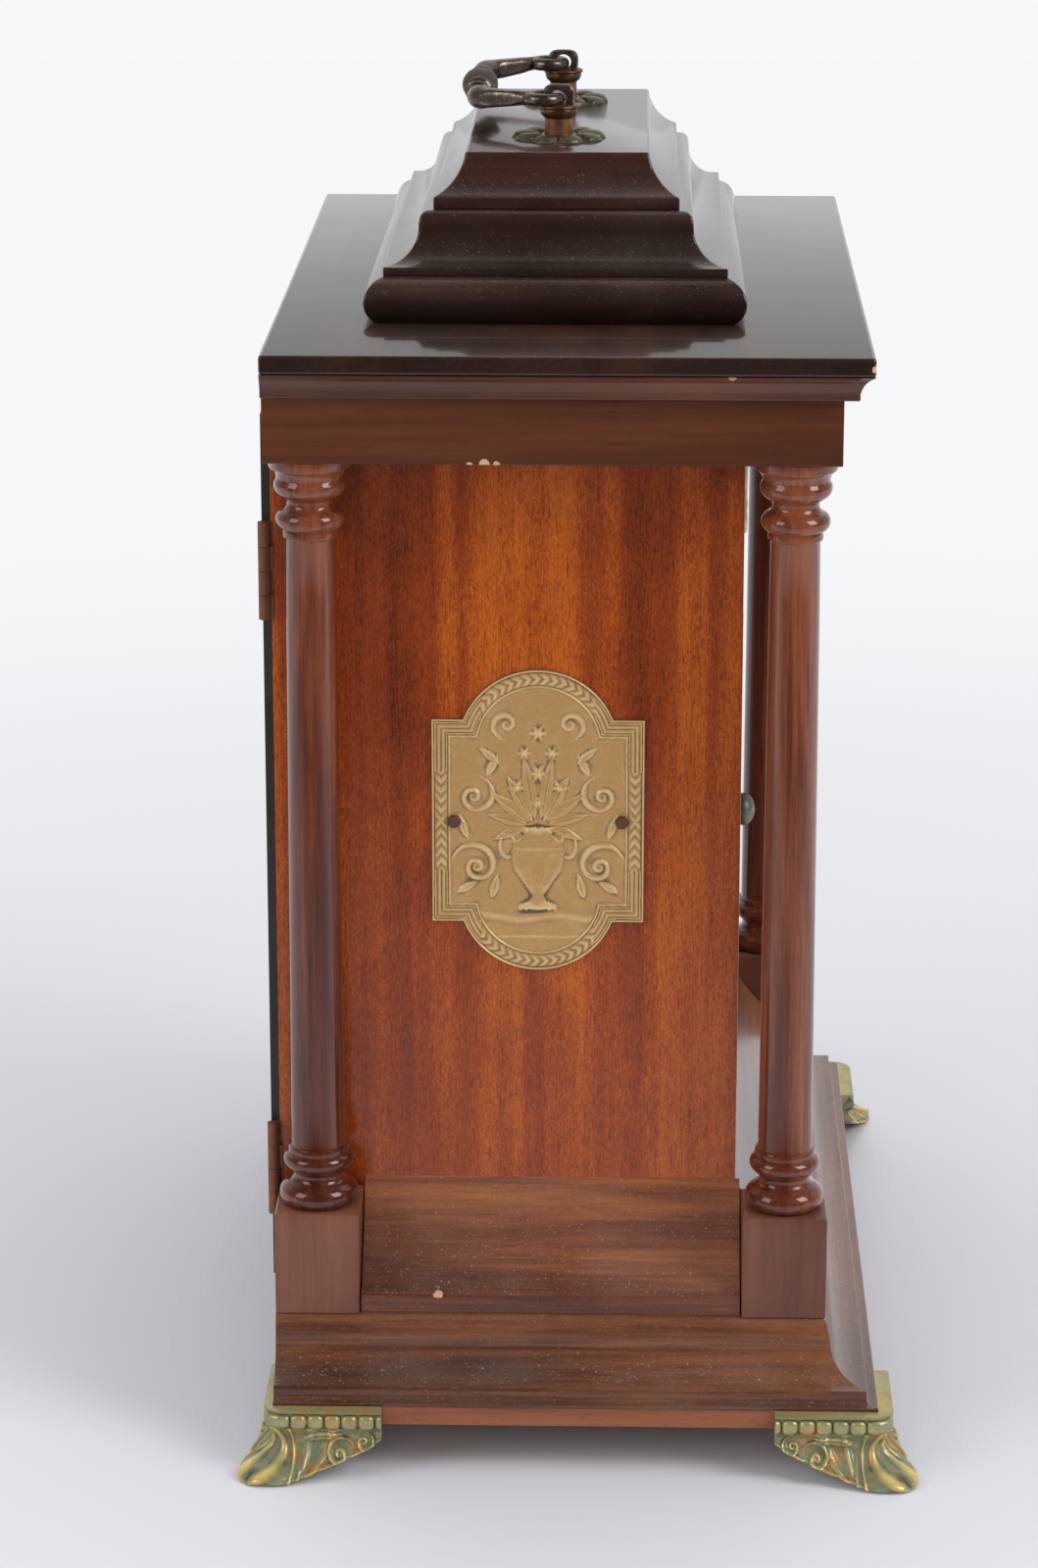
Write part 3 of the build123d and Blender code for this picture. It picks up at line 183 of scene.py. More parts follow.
# Base: three mitred mahogany mouldings round a board. Planed and moulded solid wood, stained red
# brown, sprayed with gloss lacquer, dusty on its upper faces. The bars run round the front and sides.
def mahogany(
    name, grain, dark, middle, light, figure=26, streaks=0.3, ribbon=0.0, flecks=0.0, pores=0.8, dust=0.0,
    rough=0.36, coat=0.6, coat_rough=0.1, chips=(),
):
    """Lacquered mahogany. Grain runs along X, Y, Z, or "round" for bars that follow a case's sides.

    Tone = figure noise, 14 times longer along the grain than across, plus finer streaks, plus on
    veneer upright ribbons about 17 mm wide and short flecks about 1 mm wide. A chip is a pale
    ragged spot of bare wood at a given point (x, y, z, radius) in mm. Pores are dashes of about
    0.6 by 6 mm, coarser than real ones so that they show.
    """
    wood, tree, shader = material(name)
    frame_of = add(tree, "TexCoord")
    spot = frame_of.outputs["Object"]
    place = spot
    facing = add(tree, "SeparateXYZ", None, {0: frame_of.outputs["Normal"]})
    if grain == "round":
        flat_x = add(tree, "Math", None, {0: facing}, operation="ABSOLUTE")
        flat_y = add(tree, "Math", None, {0: facing.outputs[1]}, operation="ABSOLUTE")
        on_side = add(tree, "Math", None, {0: flat_x, 1: flat_y}, operation="GREATER_THAN")
        parts = add(tree, "SeparateXYZ", None, {0: place})
        turned = add(tree, "CombineXYZ", None, {0: parts.outputs[1], 1: parts, 2: parts.outputs[2]})
        picked = add(tree, "Mix", None, {0: on_side, 4: place, 5: turned}, data_type="VECTOR")
        place = picked.outputs[1]
    along = {"X": 0, "Y": 1, "Z": 2, "round": 0}[grain]

    def grained(width, stretch, detail=4, roughness=0.6, distortion=0.0):
        """Noise whose lumps are width mm across the grain and stretch times that along it."""
        scale = [1000 / width] * 3
        scale[along] /= stretch
        at = add(tree, "Mapping", {"Scale": scale}, {"Vector": place})
        return add(
            tree, "TexNoise",
            {"Scale": 1, "Detail": detail, "Roughness": roughness, "Distortion": distortion}, {"Vector": at},
        )

    def blended(share, first, second):
        """first (1 - share) + second share, for two grey values."""
        return add(tree, "Mix", {0: share}, {2: first, 3: second})

    tone = blended(streaks, grained(figure, 14, 5, 0.55, 0.6), grained(2.2, 26, 4, 0.65))
    if ribbon:
        stripes = blended(0.3, grained(17, 40, 2, 0.5, 0.15), grained(40, 1.6, 4, 0.6, 0.9))
        tone = blended(ribbon, tone, stripes)
    if flecks:
        shorts = blended(0.35, grained(0.8, 1.8, 5, 0.75), grained(0.5, 9, 3, 0.6))
        tone = blended(flecks, tone, shorts)
    ramp = add(tree, "ValToRGB", None, {0: tone})
    stops = ramp.color_ramp.elements
    stops[0].position = 0.38
    stops[0].color = linear(dark)
    stops[1].position = 0.62
    stops[1].color = linear(light)
    stops.new(0.5).color = linear(middle)
    pore = grained(0.6, 10, 2, 0.5)
    pored = add(
        tree, "MapRange", {"From Min": 0.33, "From Max": 0.45, "To Min": pores, "To Max": 1.0},
        {"Value": pore},
    )
    stained = add(
        tree, "Mix", {0: 1.0}, {6: ramp, 7: pored},
        data_type="RGBA", blend_type="MULTIPLY",
    ).outputs[2]
    drift = add(tree, "TexNoise", {"Scale": 30, "Detail": 4, "Roughness": 0.6}, {"Vector": spot})
    if dust:
        upward_face = add(
            tree, "MapRange", {"From Min": 0.1, "From Max": 0.9, "To Min": 0.22},
            {"Value": facing.outputs[2]},
        )
        motes = add(tree, "TexNoise", {"Scale": 1100, "Detail": 2, "Roughness": 0.6}, {"Vector": spot})
        speck = add(
            tree, "MapRange", {"From Min": 0.62, "From Max": 0.72, "To Max": 1.0},
            {"Value": motes},
        )
        haze = add(
            tree, "MapRange", {"From Min": 0.3, "From Max": 0.75, "To Min": 0.06, "To Max": 0.26},
            {"Value": drift},
        )
        lying = add(tree, "Math", None, {0: speck, 1: haze}, operation="MAXIMUM")
        shown = add(tree, "Math", None, {0: lying, 1: upward_face}, operation="MULTIPLY")
        cover = add(tree, "Math", {1: dust}, {0: shown}, operation="MULTIPLY")
        stained = add(
            tree, "Mix", {7: linear("a39489")}, {0: cover, 6: stained}, data_type="RGBA"
        ).outputs[2]
    for x, y, z, radius in chips:
        ragged = add(tree, "TexNoise", {"Scale": 500, "Detail": 3}, {"Vector": spot})
        off = add(tree, "VectorMath", {1: (x * MM, y * MM, z * MM)}, {0: spot}, operation="DISTANCE")
        edge = add(
            tree, "Math", {1: radius * MM * 1.6, 2: -radius * MM * 0.8}, {0: ragged},
            operation="MULTIPLY_ADD",
        )
        bare = add(tree, "Math", None, {0: off.outputs["Value"], 1: edge}, operation="ADD")
        chipped = add(tree, "Math", {1: radius * MM}, {0: bare}, operation="LESS_THAN")
        stained = add(
            tree, "Mix", {7: linear("c39b7c")}, {0: chipped, 6: stained}, data_type="RGBA"
        ).outputs[2]
    worn = add(tree, "MapRange", {"To Min": rough - 0.08, "To Max": rough + 0.12}, {"Value": drift})
    relief = add(tree, "Bump", {"Strength": 0.2, "Distance": 0.00006}, {"Height": pore})
    lacquer = {
        "Specular IOR Level": 0.15, "Coat Weight": coat, "Coat Roughness": coat_rough, "Coat IOR": 1.5,
    }
    feed(shader, lacquer, {"Base Color": stained, "Roughness": worn, "Normal": relief})
    return wood


def eased(outline, radius, steps=3):
    """Closed outline whose corners of over 25 degrees become B(t) = (1-t)^2 a + 2t(1-t) p + t^2 b."""
    p = np.asarray(outline, float)
    before, after = np.roll(p, 1, 0) - p, np.roll(p, -1, 0) - p
    len_b, len_a = np.linalg.norm(before, axis=1), np.linalg.norm(after, axis=1)
    turn = np.pi - np.arccos(np.clip((before * after).sum(1) / (len_b * len_a), -1, 1))
    sharp = turn > radians(25)
    cut = np.where(sharp, np.minimum(radius, 0.45 * np.minimum(len_b, len_a)), 0)
    a = p + before * (cut / len_b)[:, None]
    b = p + after * (cut / len_a)[:, None]
    t = np.linspace(0, 1, steps + 1)[None, :, None]
    curve = (1 - t) ** 2 * a[:, None] + 2 * t * (1 - t) * p[:, None] + t**2 * b[:, None]
    keep = sharp[:, None] | (np.arange(steps + 1) == 0)[None]
    return curve[keep]


def arc(center, radius, start, end, steps=8):
    """Points center + radius (cos a, sin a) for a from start to end, in degrees."""
    a = np.radians(np.linspace(start, end, steps + 1))
    return np.stack([center[0] + radius * np.cos(a), center[1] + radius * np.sin(a)], 1)


def solid(name, rings, body, finish, stands_for=(), looped=False, crease=32):
    """Closed surface through rings[i, j]: each ring closed in j, and closed in i too if looped.

    Otherwise the two end rings are filled. Faces are turned outwards if the volume comes out negative.
    """
    rings = np.asarray(rings, float) * MM
    m, n = rings.shape[:2]
    index = np.arange(m * n).reshape(m, n)
    a = index if looped else index[:-1]
    c = np.roll(index, -1, 0) if looped else index[1:]
    quads = np.stack([a, np.roll(a, -1, 1), np.roll(c, -1, 1), c], -1).reshape(-1, 4)
    p = rings.reshape(-1, 3)
    corner = p[quads]
    volume = sum((corner[:, 0] * np.cross(corner[:, i], corner[:, i + 1])).sum() for i in (1, 2))
    if not looped:
        for ring, sign in ((rings[0], -1), (rings[-1], 1)):
            spokes = np.cross(ring - ring[0], np.roll(ring, -1, 0) - ring[0])
            volume += sign * (ring[0] * spokes).sum()
    faces = quads.tolist()
    if not looped:
        faces += [index[0][::-1].tolist(), index[-1].tolist()]
    if volume < 0:
        faces = [face[::-1] for face in faces]
    made = surface(name, p.tolist(), faces, finish)
    bpy.context.view_layer.objects.active = made
    made.select_set(True)
    bpy.ops.object.shade_smooth_by_angle(angle=radians(crease))
    made.select_set(False)
    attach(made, body)
    if stands_for:
        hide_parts(*stands_for)
    return made


def packed(node):
    """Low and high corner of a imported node, in millimetres."""
    return [np.array(corner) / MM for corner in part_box(node)]


frieze_low, frieze_high = packed("frieze_left")
half_width = -frieze_low[0]
front = frieze_low[1]
rear = frieze_high[1]


def side_bar(outline, side, rear_mitre=False):
    """Rings of a bar along one side: outline (o, z) carried from the front mitre to the back.

    Point = (side (half_width + o), front - o or rear, z).
    """
    o, z = np.asarray(outline).T
    x = side * (half_width + o)
    back_end = rear + o if rear_mitre else rear + 0 * o
    stations = np.linspace(0, 1, 9)[:, None]
    y = (front - o) * (1 - stations) + back_end * stations
    return np.stack([x + 0 * y, y, z + 0 * y], -1)


def front_bar(outline):
    """Rings of a bar along the front, mitred at both ends: (s (half_width + o), front - o, z), s -1 to 1."""
    o, z = np.asarray(outline).T
    x = np.linspace(-1, 1, 13)[:, None] * (half_width + o)
    return np.stack([x, front - o + 0 * x, z + 0 * x], -1)


both_sides = ((-1, "left"), (1, "right"))


def run_round(kind, piece, outline, side_finish, front_finish, rear_mitre=False):
    """The left, right and front bar of one outline, each a piece of its own."""
    for side, word in both_sides:
        name = f"{piece}_{word}"
        solid(f"{kind}_{name}", side_bar(outline, side, rear_mitre), "case", side_finish, [name])
    solid(f"{kind}_{piece}_front", front_bar(outline), "case", front_finish, [f"{piece}_front"])


base_low, base_high = packed("base_moulding_left")
base_reach = -base_low[0] - half_width
lip_z = base_low[2] + 1.3
cove = 1.4
fillet_reach = 13.7
hollow_z = lip_z + cove + 3
base_outline = np.concatenate([
    eased(
        [(-19.9, base_low[2]), (base_reach, base_low[2]), (base_reach, lip_z), (fillet_reach + cove, lip_z)],
        0.5,
    )[1:-2],
    arc((fillet_reach + cove, lip_z + cove), cove, 270, 180, 4),
    [(fillet_reach, hollow_z - 0.5), (fillet_reach - 0.2, hollow_z - 0.1)],
    arc((fillet_reach, hollow_z + 12), 12, 269, 180, 10),
    [(0.4, base_high[2] - 1.6), (0.1, base_high[2] - 0.7), (-0.6, base_high[2] - 0.1), (-1.6, base_high[2])],
    [(-19.9, base_high[2])],
])
base_tones = ("2a1007", "4c2410", "78431f", 30)
base_side = mahogany("mahogany_base_side", "Y", *base_tones, dust=0.8, coat=0.8)
base_front = mahogany("mahogany_base_front", "X", *base_tones, dust=0.8, coat=0.8)
run_round("moulded", "base_moulding", base_outline, base_side, base_front)


# Base board and its core: plain boards below and inside the mouldings, the same stain, little
# lacquer on the edge, raw softwood inside. Flat, square and sawn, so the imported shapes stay.
def finish_node(finish, *names):
    """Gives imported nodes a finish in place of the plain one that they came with."""
    for name in names:
        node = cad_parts[name]
        for slot in node.material_slots:
            slot.material = finish


board_finish = mahogany("mahogany_base_board", "Y", "60321f", "784430", "8d5538", 22, rough=0.5, coat=0.3)
core_finish = mahogany("stained_softwood_core", "X", "4e3220", "62422c", "785439", 18, rough=0.65, coat=0.1)
finish_node(board_finish, "base_board")
finish_node(core_finish, "plinth_core")


# Plinth blocks: four square blocks of mahogany with upright grain below the columns, edges
# just broken with sandpaper, paler than the mouldings.
def rectangles(center, half_size, offset, radius, z):
    """Rings i: a rectangle at z[i] of half size half_size + offset[i], with corners of radius[i]."""
    offset, radius, z = offset[:, None], radius[:, None], z[:, None]
    corners = []
    for quarter in range(4):
        spin = np.radians(np.linspace(0, 90, 4)) + quarter * pi / 2
        sign = np.sign([cos(spin.mean()), sin(spin.mean())])
        x = center[0] + sign[0] * (half_size[0] + offset - radius) + radius * np.cos(spin)
        y = center[1] + sign[1] * (half_size[1] + offset - radius) + radius * np.sin(spin)
        corners.append(np.stack([x, y, z + 0 * x], -1))
    return np.concatenate(corners, 1)


def box_rings(low, high, ease=0.5):
    """Rings of an upright block whose edges are all rounded by a quarter circle of radius ease."""
    quarter = np.radians(np.linspace(0, 90, 4))
    inset = np.concatenate([ease * (1 - np.sin(quarter)), [0, 0, 0], ease * (1 - np.cos(quarter))])
    run = np.linspace(low[2] + ease, high[2] - ease, 5)[1:-1]
    z = np.concatenate([low[2] + ease * (1 - np.cos(quarter)), run, high[2] - ease * (1 - np.sin(quarter))])
    return rectangles((high + low)[:2] / 2, (high - low)[:2] / 2, -inset, ease - inset, z)


block_finish = mahogany(
    "mahogany_blocks", "Z", "563022", "683d2c", "7a4b39", 30, 0.15, pores=0.9, dust=0.2, coat=0.55
)
four_corners = ("front_left", "front_right", "back_left", "back_right")
for corner in four_corners:
    low, high = packed(f"plinth_block_{corner}")
    solid(
        f"planed_block_{corner}", box_rings(low, high, 0.7), "case", block_finish,
        [f"plinth_block_{corner}"], crease=50,
    )


# Sills: hollow mouldings between the blocks, planed from one board each, glued to the panels.
# Stained redder than the base, and dust lies thick on the slope.
def through(first, middle, last, steps=8):
    """Points of the circular arc from first through middle to last."""
    a, b, c = (complex(*p) for p in (first, middle, last))
    w = (c - a) / (b - a)
    center = a - (a - b) * (w - abs(w) ** 2) / (2j * w.imag)
    turn = np.angle((b - center) / (a - center)) + np.angle((c - center) / (b - center))
    points = center + (a - center) * np.exp(1j * np.linspace(0, turn, steps + 1))
    return np.stack([points.real, points.imag], 1)


sill_low, sill_high = packed("sill_left")
sill_reach = sill_high[0] - sill_low[0]
sill_top = sill_high[2]
sill_foot = sill_low[2]
fillet_top = sill_foot + 6.6
sunk = (sill_reach * 0.4, fillet_top + (sill_top - fillet_top) * 0.44)
slope = through((sill_reach - 0.25, fillet_top + 0.3), sunk, (0.3, sill_top - 0.3), 14)
sill_outline = np.concatenate(
    [[(0, sill_top - 0.1), (0, sill_foot), (sill_reach, sill_foot), (sill_reach, fillet_top - 0.5)], slope]
)
sill_tones = ("401a0b", "6b3317", "9a5728", 34)
sill_finish = mahogany(
    "mahogany_sill_side", "Y", *sill_tones, dust=0.85, coat=0.7, coat_rough=0.14,
    chips=[(-150.3, 47.7, 56.8, 1.4)],
)
for side, word in both_sides:
    o, z = sill_outline.T
    ends = np.linspace(sill_low[1], sill_high[1], 7)[:, None]
    x = side * (o - sill_high[0])
    rings = np.stack([x + 0 * ends, ends + 0 * x, z + 0 * ends], -1)
    solid(f"hollow_sill_{word}", rings, "case", sill_finish, [f"sill_{word}"])
sill_front_finish = mahogany(
    "mahogany_sill_front", "X", *sill_tones, dust=0.85, coat=0.7, coat_rough=0.14
)
finish_node(sill_front_finish, "sill_front")


# Columns: four turned mahogany columns with two rings at the head and a torus and ring at the
# foot. Turned on a lathe, stained darker than the panels, thick gloss lacquer.
def lathe(outline, center, sides=64):
    """Rings of a turned piece: point = (cx + r cos a, cy + r sin a, cz + z) for outline points (r, z)."""
    r, z = np.asarray(outline, float).T[:, :, None]
    a = np.linspace(0, 2 * pi, sides, endpoint=False)
    return np.stack([center[0] + r * np.cos(a), center[1] + r * np.sin(a), center[2] + z + 0 * a], -1)


low, high = packed("column_front_left")
tall = high[2] - low[2]
top_r, foot_r, head_r, base_r, ring_r = 8.2, 9.1, 13.4, 13.3, 11.9
column_outline = np.concatenate([
    [(base_r - 2.6, 0), (base_r - 2.0, 0.1)],
    through((base_r - 1.4, 0.4), (base_r, 3.9), (base_r * 0.83, 7.5), 10),
    through((base_r * 0.82, 7.7), (foot_r * 0.95, 10.0), (ring_r * 0.87, 12.8), 8),
    through((ring_r * 0.88, 13.0), (ring_r, 15.6), (ring_r * 0.85, 18.3), 10),
    [(foot_r + 1.2, 18.9), (foot_r + 1.0, 20.2), (foot_r + 0.8, 20.7), (foot_r + 0.1, 21.0)],
    np.stack([np.linspace(foot_r, top_r, 12), np.linspace(21.4, tall - 27.3, 12)], 1),
    [(top_r + 0.2, tall - 27), (top_r + 0.8, tall - 26.7)],
    [(top_r + 0.9, tall - 26), (top_r + 0.8, tall - 24.6)],
    through((top_r + 0.7, tall - 24.1), (ring_r * 0.95, tall - 20.6), (top_r * 1.05, tall - 17.5), 10),
    through((top_r * 1.03, tall - 17.3), (top_r * 0.93, tall - 15.4), (head_r * 0.72, tall - 13.1), 8),
    through((head_r * 0.73, tall - 12.9), (head_r * 0.88, tall - 9.6), (head_r * 0.82, tall - 7.3), 8),
    through((head_r * 0.82, tall - 7.1), (head_r * 0.86, tall - 5.4), (head_r * 0.96, tall - 3.9), 8),
    [(head_r * 0.985, tall - 3.6), (head_r, tall - 3.1), (head_r, tall - 0.3), (head_r - 0.3, tall)],
])
column_finish = mahogany(
    "mahogany_columns", "Z", "3d170b", "5d2b19", "82462b", 20, 0.35, pores=0.84, rough=0.3, coat=1.0,
    coat_rough=0.05,
)
for corner in four_corners:
    low, high = packed(f"column_{corner}")
    center = ((low[0] + high[0]) / 2, (low[1] + high[1]) / 2, low[2])
    solid(
        f"turned_column_{corner}", lathe(column_outline, center), "case", column_finish,
        [f"column_{corner}"], crease=40,
    )


# Side panels: flat boards faced with ribbon figured mahogany veneer, laid upright, orange brown
# under gloss lacquer. The figure shows as broad upright bands with a slow flame across them.
panel_finish = mahogany(
    "ribbon_mahogany_veneer", "Z", "3a1202", "8e3804", "cf6d12", figure=30, streaks=0.3, ribbon=0.62,
    flecks=0.36, pores=0.6, rough=0.34, coat=0.7, coat_rough=0.14,
)
finish_node(panel_finish, "side_panel_left", "side_panel_right")


# Frieze: four flat rails of planed mahogany, mitred and glued over the columns. Straight grain
# under dark gloss lacquer, with three small chips at the lower edge of the left one.
rail = 40
rail_box = [(-rail, frieze_low[2]), (0, frieze_low[2]), (0, frieze_high[2]), (-rail, frieze_high[2])]
frieze_outline = eased(rail_box, 0.5)
frieze_tones = ("43200f", "512813", "633418", 30, 0.25)
frieze_side = mahogany(
    "mahogany_frieze_side", "Y", *frieze_tones, pores=0.88, coat=0.9,
    chips=[(-152.5, 31.5, 344.0, 1.9), (-152.5, 27.5, 344.1, 1.0), (-152.5, 36.0, 344.1, 0.9)],
)
frieze_end = mahogany("mahogany_frieze_front", "X", *frieze_tones, pores=0.88, coat=0.9)
run_round("planed", "frieze", frieze_outline, frieze_side, frieze_end, rear_mitre=True)
finish_node(frieze_end, "frieze_back")


# Cornice and top board: a small hollow moulding below a flat board with broken edges. The top
# is the glossiest face of the clock and mirrors the bright room behind it.
cornice_low, cornice_high = packed("cornice_left")
cornice_reach = -cornice_low[0] - half_width
step = cornice_reach / 2
step_z = cornice_low[2] + 2.8
cornice_outline = np.concatenate([
    [(-rail, cornice_high[2]), (-rail, cornice_low[2]), (step - 0.6, cornice_low[2])],
    arc((step - 0.6, cornice_low[2] + 0.7), 0.7, 280, 350, 3),
    [(step + 0.05, step_z - 0.3)],
    through(
        (step + 0.2, step_z), (step + 1.14, step_z + 2.35), (cornice_reach - 0.3, cornice_high[2] - 0.15)
    ),
    [(cornice_reach - 0.05, cornice_high[2])],
])
cornice_tones = ("3a1a0d", "492411", "5e3018", 28, 0.25)
cornice_side = mahogany(
    "mahogany_cornice_side", "Y", *cornice_tones, pores=0.88, coat=0.9, chips=[(-161.6, -47.4, 374.0, 1.5)]
)
cornice_end = mahogany("mahogany_cornice_front", "X", *cornice_tones, pores=0.88, coat=0.9)
run_round("moulded", "cornice", cornice_outline, cornice_side, cornice_end)
top_finish = mahogany(
    "mahogany_top_board", "X", "1a0b07", "26120b", "351b10", 46, 0.25, pores=0.9, dust=0.22, rough=0.3,
    coat=1.0, coat_rough=0.1, chips=[(-162.0, -92.7, 377.5, 1.2)],
)
low, high = packed("top_board")
solid("planed_top_board", box_rings(low, high, 1.1), "case", top_finish, ["top_board"], crease=50)


# Stepped top: three tiers of mitred moulding, each run in solid mahogany and lacquered almost
# black brown: a roll, a tall hollow with a rounded shoulder, and a small hollow under a flat top.
low, high = packed("caddy_upper")
caddy_top = high[2]
caddy_center = (low + high)[:2] / 2
upper_reach = 10.6
half_top = (high - low)[:2] / 2 - upper_reach
corner_round = 0.7
low, high = packed("caddy_lower")
roll_z = low[2]
shelf_z = high[2]
tier_z = packed("caddy_upper")[0][2]
tiers = {
    "lower": np.concatenate([
        [(28.4, roll_z), (29.0, roll_z + 0.2)],
        through((29.6, roll_z + 0.7), (32.5, roll_z + 8.3), (27.2, shelf_z - 0.4), 12),
        [(26.4, shelf_z)],
    ]),
    "middle": np.concatenate([
        [(26.1, shelf_z), (26.4, shelf_z + 0.3), (26.4, shelf_z + 2.5)],
        through((26.1, shelf_z + 2.9), (17.6, shelf_z + 7.2), (15.2, shelf_z + 13.6), 12),
        [(15.1, shelf_z + 16.0)],
        through((15.0, shelf_z + 16.3), (14.0, shelf_z + 18.6), (11.0, tier_z), 7),
    ]),
    "upper": np.concatenate([
        [(10.2, tier_z), (10.5, tier_z + 0.3), (10.5, tier_z + 3.5)],
        through((10.2, tier_z + 3.9), (4.3, tier_z + 8.2), (0.3, caddy_top - 0.5), 12),
        [(0.1, caddy_top - 0.2), (-0.3, caddy_top)],
    ]),
}
caddy_finish = mahogany(
    "mahogany_stepped_top", "round", "170a07", "200e09", "3c170d", 44, 0.2, pores=0.9, dust=0.3, rough=0.3,
    coat=0.9, coat_rough=0.14,
)
for word, outline in tiers.items():
    o, z = outline.T
    rings = rectangles(caddy_center, half_top, o, 0 * o + corner_round, z)
    solid(f"moulded_caddy_{word}", rings, "case", caddy_finish, [f"caddy_{word}"], crease=38)


# Handle fittings: cast and bronzed. A petalled rosette, a post with a collar and a pierced eye on
# each side, and a swinging bail whose end rings pass through the eyes.
def cast_metal(
    name, base, high, low_tone, rough=0.42, grain_mm=1.2, patina=0.5, metal=1.0, relief=False, patches=None
):
    """Cast metal whose colour drifts between the base, a worn polished tone and a tone of dirt or verdigris.

    With relief, the mesh's own hollow and ridge values (0 to 1) add painted shade to the dirt in the hollows
    and painted highlight to the wear on the ridges.
    """
    casting, tree, shader = material(name)
    place = add(tree, "TexCoord").outputs["Object"]
    drift = add(
        tree, "TexNoise", {"Scale": 1000 / (grain_mm * 6), "Detail": 6, "Roughness": 0.7},
        {"Vector": place},
    )
    skin = add(
        tree, "TexNoise", {"Scale": 1000 / grain_mm, "Detail": 3, "Roughness": 0.6}, {"Vector": place}
    )
    worn_and_highlight = add(tree, "MapRange", {"From Min": 0.46, "From Max": 0.72}, {"Value": drift})
    dirt_and_shade = add(
        tree, "MapRange", {"From Min": 0.54, "From Max": 0.3, "To Max": patina}, {"Value": drift}
    )
    ground = add(tree, "RGB")
    ground.outputs[0].default_value = linear(base)
    if patches:
        stain = add(tree, "TexNoise", {"Scale": 110, "Detail": 4, "Roughness": 0.6}, {"Vector": place})
        stained = add(
            tree, "MapRange", {"From Min": 0.52, "From Max": 0.62, "To Max": 0.75}, {"Value": stain}
        )
        ground = add(
            tree, "Mix", {7: linear(patches)}, {0: stained, 6: ground}, data_type="RGBA"
        ).outputs[2]
    # With relief, hollows get painted shade on top of the dirt and ridges get painted highlight on top of
    # the wear.
    if relief:
        hollow = add(tree, "Attribute", attribute_name="hollow").outputs["Fac"]
        ridge = add(tree, "Attribute", attribute_name="ridge").outputs["Fac"]
        shy = add(tree, "Math", {1: 0.25}, {0: worn_and_highlight}, operation="MULTIPLY")
        thin = add(tree, "Math", {1: 0.5}, {0: dirt_and_shade}, operation="MULTIPLY")
        worn_and_highlight = add(tree, "Math", None, {0: shy, 1: ridge}, operation="ADD", use_clamp=True)
        dirt_and_shade = add(tree, "Math", None, {0: thin, 1: hollow}, operation="ADD", use_clamp=True)
    polished = add(tree, "Mix", {7: linear(high)}, {0: worn_and_highlight, 6: ground}, data_type="RGBA")
    soiled = add(
        tree, "Mix", {7: linear(low_tone)}, {0: dirt_and_shade, 6: polished.outputs[2]}, data_type="RGBA"
    )
    dull = add(tree, "MapRange", {"To Min": rough - 0.12, "To Max": rough + 0.18}, {"Value": skin})
    bare = add(
        tree, "MapRange", {"From Max": max(patina, 0.01), "To Min": metal, "To Max": metal * 0.35},
        {"Value": dirt_and_shade},
    )
    bumps = add(tree, "Bump", {"Strength": 0.35, "Distance": 0.0002}, {"Height": skin})
    soiled = soiled.outputs[2]
    feed(shader, None, {"Base Color": soiled, "Roughness": dull, "Metallic": bare, "Normal": bumps})
    return casting


def mark_relief(piece, height, wide, strength):
    """Stores hollow and ridge: how far each height lies below or above its mean with its neighbours.

    height[i, j] belongs to ring i, point j. Rings are closed, so j wraps round.
    """
    soft = height
    for _ in range(wide):
        before = np.concatenate([soft[:1], soft[:-1]])
        after = np.concatenate([soft[1:], soft[-1:]])
        soft = (soft + before + after + np.roll(soft, 1, 1) + np.roll(soft, -1, 1)) / 5
    # Materials with relief use these values to paint shade into hollows and highlight onto ridges.
    for key, value in (("hollow", soft - height), ("ridge", height - soft)):
        layer = piece.data.attributes.new(key, "FLOAT", "POINT")
        layer.data.foreach_set("value", np.clip(value / strength, 0, 1).ravel().astype(np.float32))


# Dark bronze is polished by wear to a soft shine. Green bronze has dull verdigris in its hollows, deepened
# there by painted shade, and painted highlight on its ridges. Brown bronze is plain and brown, and the posts
# are a warm worn copper.
dark_bronze = cast_metal("dark_bronze", "62554c", "ab9886", "2a221d", 0.28, 0.8, 0.5)
green_bronze = cast_metal("green_bronze", "6a6450", "aea68c", "373226", 0.36, 0.8, 0.6, relief=True)
brown_bronze = cast_metal("brown_bronze", "6b4f38", "9a7a54", "33271d", 0.36, 1.2, 0.5)
copper = cast_metal("worn_copper", "9c6a4c", "c29270", "4a3226", 0.38, 1.4, 0.4)


def bump(distance, width):
    """Smooth ridge: (1 - (distance / width)^2)^2 inside the width, 0 outside."""
    return np.clip(1 - (distance / width) ** 2, 0, 1) ** 2


low, high = packed("rosette_left")
deck_z = low[2]
petals = 9
angle = np.linspace(0, 2 * pi, 270, endpoint=False)[:, None]
sector = 2 * pi / petals
swing = np.mod(angle + sector / 2, sector) - sector / 2
lobe = np.cos(swing / sector * pi)
rosette_r = 15.9
notch = 1.3
edge_r = rosette_r - notch * (1 - lobe) ** 1.5
share = np.linspace(0, 1, 34)[None]
inner_r = 5.1
crown_r = edge_r + (inner_r - edge_r) * share
across = swing / (sector * 0.47) * (1 + 0.25 * (share - 0.4))
petal_middle = 10.9
petal_half = 4.6
lengthwise = (crown_r - petal_middle) / petal_half
dome = np.sqrt(np.clip(1 - np.abs(across) ** 2.2 - np.abs(lengthwise) ** 2.4, 0, 1))
crown_z = deck_z + 0.5 + 2.1 * dome + 1.2 * bump(crown_r - 5.4, 1.2)
section_r = np.concatenate([crown_r, 0 * angle + inner_r, edge_r], 1)
section_z = np.concatenate([crown_z, 0 * angle + deck_z, 0 * angle + deck_z], 1)
